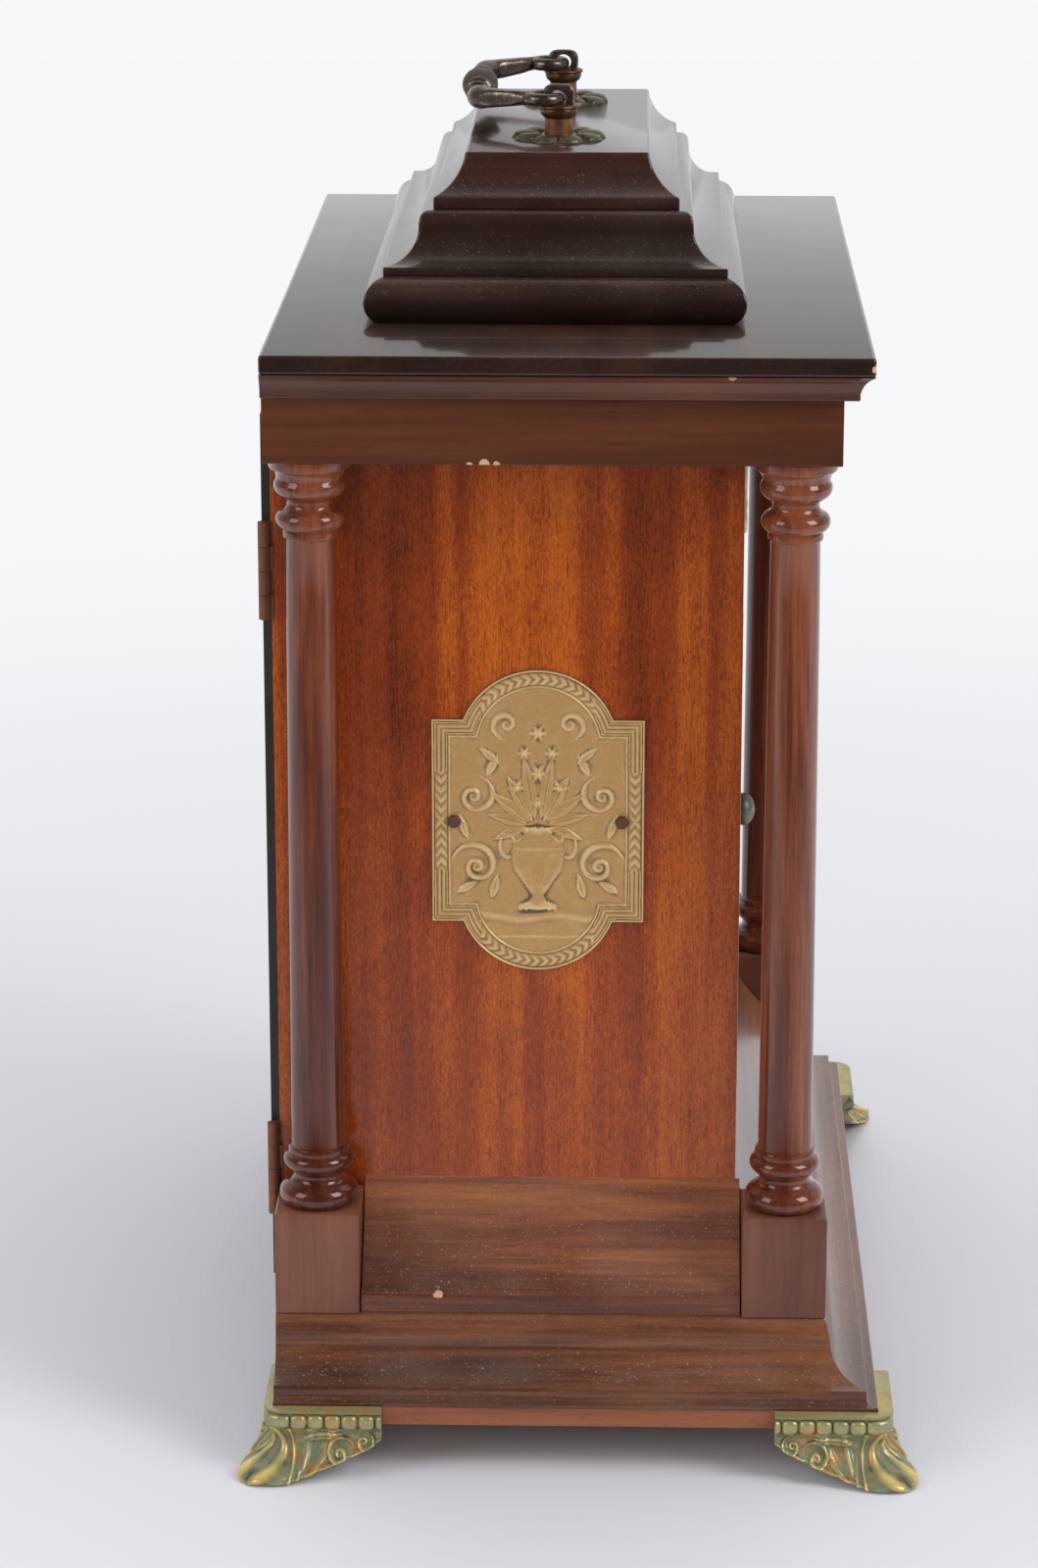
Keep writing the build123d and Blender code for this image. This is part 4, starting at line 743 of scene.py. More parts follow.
for word in ("left", "right"):
    low, high = packed(f"handle_post_{word}")
    post = (low + high) / 2
    rings = np.stack(
        [post[0] + section_r * np.cos(angle), post[1] + section_r * np.sin(angle), section_z], -1
    )
    rosette = solid(
        f"cast_rosette_{word}", rings, "case", green_bronze, [f"rosette_{word}"], looped=True, crease=60
    )
    mark_relief(rosette, section_z, 12, 1.0)
    shaft = [(0.01, 0), (4.75, 0), (4.75, 6.8), (4.4, 7.2), (0.01, 7.3)]
    solid(
        f"turned_post_{word}", lathe(shaft, (post[0], post[1], deck_z), 48), "case", copper,
        [f"handle_post_{word}"],
    )
    collar = np.concatenate([
        [(0.01, 7.0), (4.8, 7.0)], through((5.0, 7.2), (6.1, 8.4), (6.4, 10.0), 6), [(6.3, 10.2)],
        arc((6.3, 10.8), 0.65, -70, 80, 6), [(5.6, 11.6), (4.4, 12.0), (0.01, 12.1)],
    ])
    solid(f"cast_collar_{word}", lathe(collar, (post[0], post[1], deck_z), 48), "case", brown_bronze)
    hole_z = deck_z + 13.9
    spin = np.linspace(0, 2 * pi, 72, endpoint=False)[:, None]
    across, rise = np.cos(spin), np.sin(spin)
    eye_half, eye_rise, squareness, eye_foot = 5.3, 4.35, 3.4, 3.4
    bulge = (np.abs(across) / eye_half) ** squareness + (np.abs(rise) / eye_rise) ** squareness
    plate_r = 1 / bulge ** (1 / squareness)
    plate_r = np.where(rise < -0.3, np.minimum(plate_r, eye_foot / np.maximum(-rise, 0.3)), plate_r)
    hole_r = 2.75 + 0 * spin
    radius = np.concatenate([
        hole_r + 0.3, hole_r, hole_r, hole_r + 0.3, plate_r - 0.6, plate_r - 0.15, plate_r, plate_r - 0.15,
        plate_r - 0.6,
    ], 1)
    depth = np.array([-1.7, -1.3, 1.3, 1.7, 1.8, 1.4, 0.0, -1.4, -1.8])[None]
    rings = np.stack(
        [post[0] + depth + 0 * radius, post[1] + radius * across, hole_z + radius * rise], -1
    )
    solid(f"pierced_eye_{word}", rings, "case", dark_bronze, looped=True, crease=45)

low, high = packed("bail_handle")
pin_z = deck_z + 13.4
post_y = post[1]
ring_wire, ring_radius = 2.15, 5.1
grip_y = post_y + 28
span = 45.0
grip_span = 34.0
drop = 1.5
bend = 6.0


def tube(path, radius, squeeze=1.0, power=2.0, sides=32):
    """Rings round a nearly level path: path + r k(a) (n cos a + squeeze z sin a), with n across it.

    k(a) = (|cos a|^p + |sin a|^p)^(-1/p), so that p = 2 is round and a greater p is squarer.
    """
    tangent = np.gradient(path, axis=0)
    tangent /= np.linalg.norm(tangent, axis=1)[:, None]
    normal = np.stack([-tangent[:, 1], tangent[:, 0], 0 * tangent[:, 0]], 1)
    a = np.linspace(0, 2 * pi, sides, endpoint=False)[None]
    p = np.asarray(power)[:, None]
    k = (np.abs(np.cos(a)) ** p + np.abs(np.sin(a)) ** p) ** (-1 / p)
    r = (np.asarray(radius)[:, None] * k)[..., None]
    flat = np.asarray(squeeze)[:, None, None]
    lift = np.array([0, 0, 1.0])
    return path[:, None] + r * (normal[:, None] * np.cos(a)[..., None] + flat * lift * np.sin(a)[..., None])


ring_end = np.array([-span, post_y + 10.2, pin_z])
corner = np.array([-grip_span, grip_y, pin_z - drop])
inward = (ring_end - corner) / np.linalg.norm(ring_end - corner)
t = np.linspace(0, 1, 22)[:, None]
arm = ring_end + (corner + bend * inward - ring_end) * np.linspace(0, 1, 34)[:, None]
turn = (1 - t) ** 2 * arm[-1] + 2 * t * (1 - t) * corner + t**2 * (corner + [bend, 0, 0])
grip_middle = np.array([0, grip_y, pin_z - drop])
bar = turn[-1] + (grip_middle - turn[-1]) * np.linspace(0, 1, 90)[:, None]
half_path = np.concatenate([arm, turn[1:], bar[1:]])
path = np.concatenate([half_path, half_path[::-1][1:] * [-1, 1, 1]])
gone = np.concatenate([[0], np.cumsum(np.linalg.norm(np.diff(path, axis=0), axis=1))])
to_middle = np.abs(gone - gone[-1] / 2)
total = gone[-1] / 2
knob_at = 33
along_arm = np.clip((to_middle - knob_at) / (total - knob_at), 0, 1)
grooves = 1 + 0.05 * np.cos(2 * pi * to_middle / 2.4)
barrel = 5.9 * np.sqrt(np.clip(1 - (to_middle / 13.5) ** 2, 0, 1)) * grooves
discs = np.maximum(4.9 * bump(to_middle - 14.6, 2.2) ** 0.5, 4.0 * bump(to_middle - 18.6, 2.2) ** 0.5)
neck = 2.6 + 0.4 * np.clip((to_middle - 20) / 8, 0, 1)
knob = 3.9 * bump(to_middle - knob_at, 9.0) ** 0.3
taper = np.where(to_middle > knob_at, 3.6 - 1.3 * along_arm, 0)
thick = np.maximum.reduce([neck * (to_middle <= knob_at), taper, knob, barrel, discs])
flat = np.where(to_middle < 20, 0.91, 1.0)
squarish = 2 + 2.5 * np.clip((to_middle - 36) / 4, 0, 1) * np.clip((total - 3 - to_middle) / 3, 0, 1)
solid("cast_bail", tube(path, thick, flat, squarish), "handle", dark_bronze, ["bail_handle"], crease=50)
for side, word in both_sides:
    a = np.linspace(0, 2 * pi, 48, endpoint=False)
    out = np.stack([np.cos(a), np.sin(a), 0 * a], 1)
    loop = np.array([side * span, post_y + ring_radius, pin_z]) + ring_radius * out
    b = np.linspace(0, 2 * pi, 16, endpoint=False)[None]
    section = out[:, None] * np.cos(b)[..., None] + np.array([0, 0, 1]) * np.sin(b)[..., None]
    rings = loop[:, None] + ring_wire * section
    solid(f"bail_ring_{word}", rings, "handle", dark_bronze, looped=True, crease=60)


# Side plaques: thin brass stamped in relief and gilded matt, held by two round headed pins. The
# border has reeds and laurel; the picture is an urn of flowers between scrolls.
low, high = packed("plaque_left")
plate_half = (high[1] - low[1]) / 2
plate_mid_y = (high[1] + low[1]) / 2
plate_mid_z = (high[2] + low[2]) / 2
arch_half = (high[2] - low[2]) / 2
shoulder = 35.2
arch_rise = arch_half - shoulder
arch_chord = 25.0
arch_r = (arch_chord**2 + arch_rise**2) / (2 * arch_rise)
arch_c = arch_half - arch_r
border_width = 6.3


def spiral(y, z, cy, cz, size, turn, start, flip):
    """Ridge along a spiral r = size e^(-turn a): distance is measured to its nearest arm."""
    dy, dz = flip * (y - cy), z - cz
    r = np.hypot(dy, dz) + 1e-6
    a = np.arctan2(dz, dy) - start
    arms = (np.log(size / r) / turn - a) / (2 * pi)
    off = np.abs(arms - np.round(arms)) * 2 * pi * turn * r
    return bump(off, 0.9 + 0.08 * r) * (r < size) * np.clip(r / 1.2, 0, 1)


def leaf(y, z, cy, cz, angle, length, width):
    """Pointed leaf from (cy, cz) at an angle: half width = width sin(pi t^0.8), with a sunk midrib."""
    t = ((y - cy) * cos(angle) + (z - cz) * sin(angle)) / length
    off = -(y - cy) * sin(angle) + (z - cz) * cos(angle)
    half = width * np.sin(pi * np.clip(t, 0, 1) ** 0.8) + 1e-6
    inside = np.clip(1 - (off / half) ** 2, 0, 1) * (t > 0) * (t < 1)
    return np.sqrt(inside) * (1 - 0.45 * bump(off, 0.35))


def plaque_relief(y, z):
    """Height in mm at (y, z) from the plate's middle: border by distance d to the edge, then picture."""
    inside_box = np.minimum(plate_half - np.abs(y), shoulder - np.abs(z))
    inside_arch = arch_r - np.hypot(y, np.abs(z) - arch_c)
    d = np.maximum(inside_box, inside_arch)
    in_arch = inside_arch > inside_box
    run = np.where(in_arch, arch_r * np.arctan2(y, np.abs(z) - arch_c), np.abs(z))
    t = d - 3.1
    veins = 0.5 + 0.5 * np.cos(2 * pi * (run - 1.1 * np.abs(t)) / 3.4)
    laurel = np.clip(1 - (t / 2.1) ** 2, 0, 1) ** 0.6 * (0.25 + 0.75 * veins)
    reeds = 0.55 * np.abs(np.cos(pi * (d - 1.0) / 1.45)) * ((d > 0.9) & (d < 5.3))
    wreath = np.where(in_arch, np.abs(y) < 19, (np.abs(z) < 17) & (np.abs(y) > 25))
    border = np.where(wreath, 0.75 * laurel * (d < 5.3), reeds)
    rim = 0.8 * bump(d - 0.35, 0.6) + 0.5 * bump(d - 5.9, 0.5)
    urn_z = [-31, -29.5, -28, -26, -22, -17, -11, -7, -4.5, -3, -2]
    urn_half = [6.5, 6.8, 3.0, 2.0, 4.6, 8.2, 9.2, 7.4, 4.6, 5.6, 6.2]
    body = np.interp(z, urn_z, urn_half)
    urn = np.sqrt(np.clip(1 - (y / body) ** 2, 0, 1)) * ((z > -31) & (z < -2))
    round_urn = np.arcsin(np.clip(y / body, -1, 1))
    flutes = 1 - 0.18 * np.abs(np.cos(4.5 * round_urn)) * ((z > -22) & (z < -12))
    band = 0.2 * bump(z + 9.5, 0.8)
    handles = sum(bump(np.hypot((y - s * 10.2) / 0.8, (z + 8.5) / 1.3) - 3.2, 0.75) for s in (-1, 1))
    height = urn * flutes * (1 + band) + 0.55 * handles * (urn <= 0)
    for s in (-1, 1):
        height = np.maximum(height, 0.6 * spiral(y, z, s * 20.5, -16, 9.0, 0.2, 0.6, s))
        height = np.maximum(height, 0.6 * spiral(y, z, s * 21.5, 8.5, 7.5, 0.22, 2.4, s))
        height = np.maximum(height, 0.5 * spiral(y, z, s * 10.5, 33.5, 5.4, 0.24, -0.8, s))
        for angle, length, width, at in (
            (62, 18, 2.3, (2, 0)), (38, 17, 2.2, (3, 0)), (14, 14, 2.0, (3.5, -1)), (80, 23, 2.4, (1, 1)),
            (-22, 12, 1.8, (4, -2)), (104, 9, 1.6, (15.5, -27)), (150, 8, 1.5, (27, -25)),
            (70, 9, 1.5, (23.5, -6)), (118, 8, 1.5, (17, 16)), (40, 9, 1.4, (13, 20)),
        ):
            turned_angle = radians(angle) if s > 0 else pi - radians(angle)
            height = np.maximum(height, 0.62 * leaf(y, z, s * at[0], at[1], turned_angle, length, width))
    flowers = (
        (0, 6.5, 4.4), (-7.2, 11.5, 3.5), (7.2, 11.5, 3.5), (0, 16.5, 3.8), (-4.6, 23.5, 2.7),
        (4.6, 23.5, 2.7), (0, 30.5, 3.0),
    )
    for fy, fz, size in flowers:
        r = np.hypot(y - fy, z - fz)
        a = np.arctan2(z - fz, y - fy)
        petal = size * (0.78 + 0.22 * np.cos(6 * a))
        cup = 0.65 + 0.25 * np.cos(pi * r / petal) + 0.5 * bump(r, 1.0)
        height = np.maximum(height, 0.95 * np.clip(1 - (r / petal) ** 4, 0, 1) * cup)
    ground = 0.35 * bump(z + 33.5 + 0.8 * np.sin(y / 4), 2.4) + 0.25 * bump(z + 40.5, 0.6)
    picture = np.maximum(height, ground) * np.clip((d - border_width) / 0.8, 0, 1)
    waves = np.sin(2.7 * y + 1.3 * np.sin(1.9 * z)) * np.sin(3.1 * z + 1.7 * np.sin(2.3 * y))
    stipple = 0.035 * waves * (d > border_width)
    return 0.75 + rim + 0.8 * border * (d > 0.6) + picture + stipple


# The gilt is darkened in the hollows of the relief as patina and painted shade, and lightened on its ridges
# as wear and painted highlight.
plaque_brass = cast_metal("matt_gilt_brass", "c4985f", "ecc992", "5c523c", 0.42, 0.9, 0.25, 0.6, relief=True)
turns = 620
compass = np.linspace(0, 2 * pi, turns, endpoint=False)[:, None]
way_y, way_z = np.cos(compass), np.sin(compass)
to_box = np.minimum(plate_half / np.maximum(np.abs(way_y), 1e-6), shoulder / np.maximum(np.abs(way_z), 1e-6))
climb = arch_c * np.abs(way_z)
reach = climb**2 - arch_c**2 + arch_r**2
to_arch = climb + np.sqrt(np.clip(reach, 0, None))
to_edge = np.maximum(to_box, np.where(reach > 0, to_arch, 0))
inner_steps = np.linspace(0.004, 1, 74)[None]
edge_steps = np.linspace(0, 1, 34)[None, 1:]
edge_band = 7.5
spokes = np.concatenate([(to_edge - edge_band) * inner_steps, to_edge - edge_band * (1 - edge_steps)], 1)
face_y, face_z = spokes * way_y, spokes * way_z
highest = 1.98
rim_height = 0.55
height = np.minimum(plaque_relief(face_y, face_z), highest)
height[:, -1] = rim_height
for side, word in both_sides:
    low, high = packed(f"plaque_{word}")
    panel_x = high[0] if side < 0 else low[0]
    x = panel_x + side * np.concatenate([height, 0 * to_edge], 1)
    y = plate_mid_y + np.concatenate([face_y, to_edge * way_y], 1)
    z = plate_mid_z + np.concatenate([face_z, to_edge * way_z], 1)
    rings = np.stack([x, y, z], -1).transpose(1, 0, 2)
    plaque = solid(f"stamped_plaque_{word}", rings, "case", plaque_brass, [f"plaque_{word}"], crease=75)
    mark_relief(plaque, np.concatenate([height, height[:, -1:]], 1).T, 14, 0.24)
pin_finish = cast_metal("tarnished_pins", "7d5a4a", "a17d68", "4a2e22", 0.5, 1.0, 0.5)
finish_node(pin_finish, "plaque_pins")


# Feet: four brass castings, each a corner bracket with a beaded flange round the board, ribbed leaves below
# it and a toe that curls outwards. Green patina, gold where it is worn bright, coppery where the patina has
# gone. The carving is darkened in its hollows as dirt and painted shade, and lightened on its ridges as wear
# and painted highlight.
foot_finish = cast_metal(
    "verdigris_brass", "8f9678", "ecd07c", "3c4433", 0.32, 0.9, 0.45, 0.6, relief=True, patches="bd8448"
)
leg = 30.0
flange = 6.0
toe_reach = 14.4
foot_reach = 14.5
bead_pitch = 5.7
path_s = np.linspace(-1, 1, 241) * (leg + flange * 0.6)
corner_r = 3.0
quarter = corner_r * pi / 4
past = np.clip(np.abs(path_s) - quarter, 0, None)
plan_a = pi / 4 + np.sign(path_s) * np.clip(np.abs(path_s) / corner_r, 0, pi / 4)
n_u, n_v = np.cos(plan_a), np.sin(plan_a)
base_u = corner_r * (n_u - 1) - np.where(path_s > 0, past, 0)
base_v = corner_r * (n_v - 1) - np.where(path_s < 0, past, 0)
out_along = np.abs(path_s)[:, None]
near = np.clip(1 - out_along / (leg + 4), 0, 1)
toe = near**1.6
t = np.linspace(0, 1, 46)[None]
top_z = packed("foot_front_left")[1][2]
shelf = top_z - 6.5
foot_line = (shelf - 3.2) * (1 - near**0.75) ** 1.1
body_z = foot_line + (shelf - foot_line) * (1 - t)
above_line = body_z - foot_line
fan_u = out_along - 1.5 * np.sin(pi * np.clip(body_z / shelf, 0, 1))
upright = np.cos(2 * pi * fan_u / 2.6) * np.clip((8.5 - out_along - 0.25 * body_z) / 2, 0, 1)
heading = np.arctan2(body_z + 1.0, np.clip(out_along - 3.0, 0.01, None))
from_toe = np.hypot(out_along - 3.0, body_z + 1.0)
swept = np.cos(heading * 15 - 0.3 * from_toe) * np.clip((out_along + 0.25 * body_z - 7.5) / 2, 0, 1)
swept = swept * np.clip((21 - out_along) / 4, 0, 1) * np.clip((1.35 - heading) / 0.3, 0, 1)
fan = np.maximum(upright, 0) + np.maximum(swept, 0)
toe_ball = 1.6 * bump(np.hypot(out_along - 1.2, body_z - 3.4), 3.2)
scrolls = np.maximum.reduce([
    spiral(out_along, body_z, 19.5, 9.0, 5.4, 0.23, 1.2, 1),
    spiral(out_along, body_z, 27.5, 12.8, 3.8, 0.24, 2.6, -1),
    0.9 * leaf(out_along, body_z, 7, 13.6, 0.12, 14, 1.9),
    0.9 * leaf(out_along, body_z, 22, 5.4, 0.62, 11, 1.8),
    0.9 * leaf(out_along, body_z, 12, 2.2, 0.45, 10, 1.6),
])
rim = bump(above_line - 0.7, 0.9) * np.clip(out_along / 6, 0, 1)
carving = 1.1 * fan + 1.3 * scrolls + 0.7 * rim + toe_ball
carving = carving * np.clip(t / 0.06, 0, 1) * np.clip((1 - t) / 0.03, 0, 1)
belly = np.sin(pi * np.clip(t * 1.2, 0, 1))
curl = (toe_reach - flange + 2.0) * toe * np.clip((t - 0.3) / 0.7, 0, 1) ** 1.4
round_toe = 1.5 * toe * np.clip((t - 0.88) / 0.12, 0, 1) ** 2
body_o = flange - 1.6 - 1.2 * belly * (1 - toe) - 2.8 * belly * toe + curl - round_toe + carving
tucked = np.mod(path_s + bead_pitch / 2, bead_pitch) - bead_pitch / 2
lip_t = np.linspace(0, 1, 17)[None]
side_way = np.abs(tucked / (bead_pitch * 0.5))[:, None]
up_way = np.abs(2 * lip_t - 1)
bead = np.sqrt(np.clip(1 - side_way**2.6 - up_way**3, 0, 1))
bead_o = flange - 2.0 + 2.0 * bead
bead_z = shelf + 5.5 * (1 - lip_t) - 0.3 + 0 * side_way
level = 0 * out_along
rim_o = np.array([[0.15, flange - 1.5, flange - 0.6, flange - 0.3, flange - 0.5, flange - 1.6]]) + level
rim_z = top_z - np.array([[0, 0, 0.2, 0.5, 0.8, 1.1]]) + level
inner_o = np.concatenate([body_o[:, -1:] - 3.0, level - 3.5, level - 6, level - 6, level + 0.15], 1)
inner_top = level + shelf - 0.1
inner_z = np.concatenate(
    [foot_line, foot_line + 1.5, np.minimum(foot_line + 4, shelf - 1.5), inner_top, inner_top], 1
)
o = np.concatenate([rim_o, bead_o, body_o, inner_o], 1)
z = np.concatenate([rim_z, bead_z, body_z, inner_z], 1)
widen = 1 + 0.22 * np.sin(2 * plan_a)[:, None] * np.clip(o / toe_reach, 0, 1)
u = np.minimum(base_u[:, None] + o * widen * n_u[:, None], toe_reach)
v = np.minimum(base_v[:, None] + o * widen * n_v[:, None], toe_reach)
carved = np.concatenate([0 * rim_o + 0.6, 1.4 * bead, 0.4 + carving, 0 * inner_o], 1)
for corner in four_corners:
    low, high = packed(f"foot_{corner}")
    along = 1 if "right" in corner else -1
    across = -1 if "front" in corner else 1
    edge_x = (high[0] if along > 0 else low[0]) - along * foot_reach
    edge_y = (high[1] if across > 0 else low[1]) - across * foot_reach
    rings = np.stack([edge_x + along * u, edge_y + across * v, z], -1)
    foot = solid(f"cast_foot_{corner}", rings, "case", foot_finish, [f"foot_{corner}"], crease=70)
    # The carving's hollows and ridges steer dirt with painted shade, and wear with painted highlight.
    mark_relief(foot, carved, 6, 0.45)

# Plain grey steel: bright and even, for screws and chime rods.
steel = cast_metal("plain_steel", "8a8a88", "a8a8a6", "5a5652", 0.35, 0.8, 0.3)
finish_node(steel, "foot_screws", "chime_rods")


# Back door: a thin board in satin black, hung on two plated hinges at the left, with a small
# knob. The sprayed black gives broad soft highlights with a fine orange peel.
black, tree, shader = material("satin_black_lacquer")
place = add(tree, "TexCoord").outputs["Object"]
smudge = add(tree, "TexNoise", {"Scale": 22, "Detail": 6, "Roughness": 0.7}, {"Vector": place})
ink = add(tree, "ValToRGB", None, {0: smudge})
for stop, position, code in zip(ink.color_ramp.elements, (0.3, 0.75), ("1b1a1a", "343130")):
    stop.position = position
    stop.color = linear(code)
sheen = add(tree, "MapRange", {"To Min": 0.38, "To Max": 0.62}, {"Value": smudge})
peel = add(tree, "TexNoise", {"Scale": 900, "Detail": 2}, {"Vector": place})
skin = add(tree, "Bump", {"Strength": 0.12, "Distance": 0.0001}, {"Height": peel})
feed(shader, None, {"Base Color": ink, "Roughness": sheen, "Normal": skin})
finish_node(black, "back_door")

# Copper plate gone dull and reddish on the hinges, and a greenish grey bronze on both knobs.
hinge_finish = cast_metal("dull_copper_plate", "84553f", "a06a50", "4e3024", 0.55, 1.6, 0.4, metal=0.75)
finish_node(hinge_finish, "hinge_case_leaves", "hinge_door_leaves", "hinge_pins")
knob_finish = cast_metal("grey_bronze_knob", "5d635b", "888d80", "34382f", 0.4, 1.5, 0.5, metal=0.7)
finish_node(knob_finish, "back_door_knob", "front_door_knob")


# Front door: mahogany frame with an arched glass and a brass bead round the glass. The frame has
# the case's stain, the glass is clear and thin, and the bead is bright lacquered brass.
door_finish = mahogany("mahogany_door", "Z", "4a2010", "6d3518", "864622", 28, 0.25, pores=0.86, coat=0.9)
finish_node(door_finish, "front_door_frame")
dial_brass = cast_metal("lacquered_dial_brass", "c09a4e", "dcbc74", "94713a", 0.3, 2.0, 0.2)
finish_node(dial_brass, "dial_plate")
clear, tree, shader = material("clear_glass")
feed(
    shader, {"Base Color": linear("f4f8f7"), "Roughness": 0.02, "Transmission Weight": 1.0, "IOR": 1.5}
)
finish_node(clear, "front_door_glass")

door_low = packed("front_door_frame")[0]
glass_low, glass_high = packed("front_door_glass")
lap = 3.5
shoulder_height = 172
arch_drop = 2.0
open_half = glass_high[0] - lap
open_foot = glass_low[2] + lap
open_shoulder = open_foot + shoulder_height
arch_z = open_shoulder - arch_drop
arch_size = 48.0
shoulder_x = float(np.sqrt(arch_size**2 - arch_drop**2))
bead_path = np.concatenate([
    [(0, open_foot), (open_half, open_foot), (open_half, open_shoulder), (shoulder_x, open_shoulder)],
    arc((0, arch_z), arch_size, 2.4, 177.6, 40),
    [(-shoulder_x, open_shoulder), (-open_half, open_shoulder), (-open_half, open_foot)],
])


def frame_bead(outline, y_front, width, proud):
    """Rings of a flat bead inside an outline (x, z), offset inwards by the mitred normal at each point."""
    p = np.asarray(outline)
    ahead = np.roll(p, -1, 0) - p
    ahead /= np.linalg.norm(ahead, axis=1)[:, None]
    behind = np.roll(ahead, 1, 0)
    inward_a = np.stack([-ahead[:, 1], ahead[:, 0]], 1)
    inward_b = np.stack([-behind[:, 1], behind[:, 0]], 1)
    mitre = inward_a + inward_b
    mitre /= (mitre * inward_a).sum(1)[:, None]
    section = [
        (0.05, proud), (0.05, 0), (width * 0.3, -proud * 0.4), (width * 0.7, -proud * 0.2),
        (width, proud * 0.5), (width, proud),
    ]
    return np.stack([
        np.stack([p[:, 0] + mitre[:, 0] * o, np.full(len(p), y_front + d), p[:, 1] + mitre[:, 1] * o], 1)
        for o, d in section
    ], 1)


solid(
    "brass_glass_bead", frame_bead(bead_path, door_low[1] + 1.0, 2.4, 5.2), "front_door", dial_brass,
    looped=True, crease=40,
)


# Dial: brass plate with a matted centre, silvered chapter ring with black Roman hours and a
# minute track, cast corner spandrels, a plain silvered disc in the arch, and blued steel hands.
chapter_low, chapter_high = packed("chapter_ring")
dial_x = (chapter_low[0] + chapter_high[0]) / 2
dial_z = (chapter_low[2] + chapter_high[2]) / 2
ring_front = chapter_low[1]
plate_front = chapter_high[1]
outer = (chapter_high[0] - chapter_low[0]) / 2
ring_width = 22
inner = outer - ring_width
silver = cast_metal("silvered_brass", "cfcdc4", "e0ded6", "a8a498", 0.32, 2.5, 0.25, metal=0.75)
enamel = cast_metal("black_wax", "101010", "1c1b1a", "0a0a0a", 0.5, 1.0, 0.3, metal=0.0)
finish_node(silver, "chapter_ring")
hands_finish = cast_metal("blued_steel", "161a2a", "2a3350", "0c0d12", 0.28, 1.5, 0.3)
finish_node(hands_finish, "hour_hand", "minute_hand")


def strokes(name, bars, y, depth, body, finish):
    """Flat bars in the dial's plane, each (x0, z0, x1, z1, width), drawn as thin closed boxes."""
    bars = np.asarray(bars, float)
    start, end, width = bars[:, :2], bars[:, 2:4], bars[:, 4:5]
    ahead = (end - start) / np.linalg.norm(end - start, axis=1)[:, None]
    off = np.stack([-ahead[:, 1], ahead[:, 0]], 1) * width / 2
    plan = np.stack([start + off, start - off, end - off, end + off], 1)
    near = np.concatenate([plan[..., :1], np.full((*plan.shape[:2], 1), y - depth), plan[..., 1:]], -1)
    far_side = near + [0, depth, 0]
    points = np.concatenate([near, far_side], 1).reshape(-1, 3) * MM
    unit = np.array([[0, 1, 2, 3], [7, 6, 5, 4], [0, 4, 5, 1], [1, 5, 6, 2], [2, 6, 7, 3], [3, 7, 4, 0]])
    faces = (unit[None] + 8 * np.arange(len(bars))[:, None, None]).reshape(-1, 4)
    made = surface(name, points.tolist(), faces.tolist(), finish)
    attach(made, body)
    return made


numeral_r = (outer + inner) / 2 - 1.0
tall_half = 6.2
letter_bars = {
    "I": [(0, -1, 0, 1, 1.5)],
    "V": [(-2.3, 1, 0, -1, 1.7), (2.3, 1, 0, -1, 0.8)],
    "X": [(-2.3, 1, 2.3, -1, 1.7), (2.3, 1, -2.3, -1, 0.8)],
}
letter_width = {"I": 2.6, "V": 5.6, "X": 5.6}
bars = []
for hour, word in enumerate(("XII", "I", "II", "III", "IIII", "V", "VI", "VII", "VIII", "IX", "X", "XI")):
    turn_a = radians(30 * hour)
    out_x, out_z = sin(turn_a), cos(turn_a)
    width = sum(letter_width[letter] for letter in word)
    at = -width / 2
    for letter in word:
        at += letter_width[letter] / 2
        for x0, z0, x1, z1, w in letter_bars[letter]:
            ends = []
            for dx, dz in ((x0, z0), (x1, z1)):
                px, pz = at + dx, numeral_r + dz * tall_half
                ends += [dial_x + px * cos(turn_a) + pz * out_x, dial_z - px * sin(turn_a) + pz * out_z]
            bars.append((*ends, w))
        at += letter_width[letter] / 2
strokes("hour_numerals", bars, ring_front, 0.12, "case", enamel)
minute = np.radians(6 * np.arange(60))
long_mark = np.where(np.arange(60) % 5 == 0, 3.0, 1.8)
r0, r1 = outer - 1.4 - long_mark, outer - 1.4 + 0 * long_mark
ticks = np.stack([
    dial_x + r0 * np.sin(minute), dial_z + r0 * np.cos(minute),
    dial_x + r1 * np.sin(minute), dial_z + r1 * np.cos(minute), np.where(long_mark > 2, 0.9, 0.45),
], 1)
strokes("minute_marks", ticks, ring_front, 0.1, "case", enamel)
for word, radius in (("outer", outer - 1.0), ("inner", inner + 1.0), ("track", outer - 4.8)):
    a = np.linspace(0, 2 * pi, 180, endpoint=False)[:, None]
    r = radius + np.array([[-0.18, 0.18, 0.18, -0.18]])
    d = np.array([[0.0, 0.0, -0.08, -0.08]])
    rings = np.stack([dial_x + r * np.cos(a), ring_front + d + 0 * a, dial_z + r * np.sin(a)], -1)
    solid(f"chapter_line_{word}", rings, "case", enamel, looped=True)

matted = cast_metal("matted_dial_centre", "a9853f", "c6a055", "7a5a28", 0.6, 0.5, 0.3)
a = np.linspace(0, 2 * pi, 120, endpoint=False)[:, None]
for word, disc_z, r_in, r_out, finish in (
    ("matted_dial_centre", dial_z, 4.5, inner - 1.5, matted),
    ("arch_boss", arch_z + 4, 0.01, 27.0, silver),
    ("arch_boss_rim", arch_z + 4, 26.5, 31.0, dial_brass),
):
    rise = 0.5 if finish is not dial_brass else 1.6
    r = np.array([[r_in, r_out - 0.4, r_out, r_out, r_in]]) + 0 * a
    d = np.array([[-rise, -rise, -rise + 0.3, 0, 0]]) + 0 * a
    rings = np.stack([dial_x + r * np.cos(a), plate_front + d, disc_z + r * np.sin(a)], -1)
    solid(word, rings, "case", finish, looped=True, crease=40)


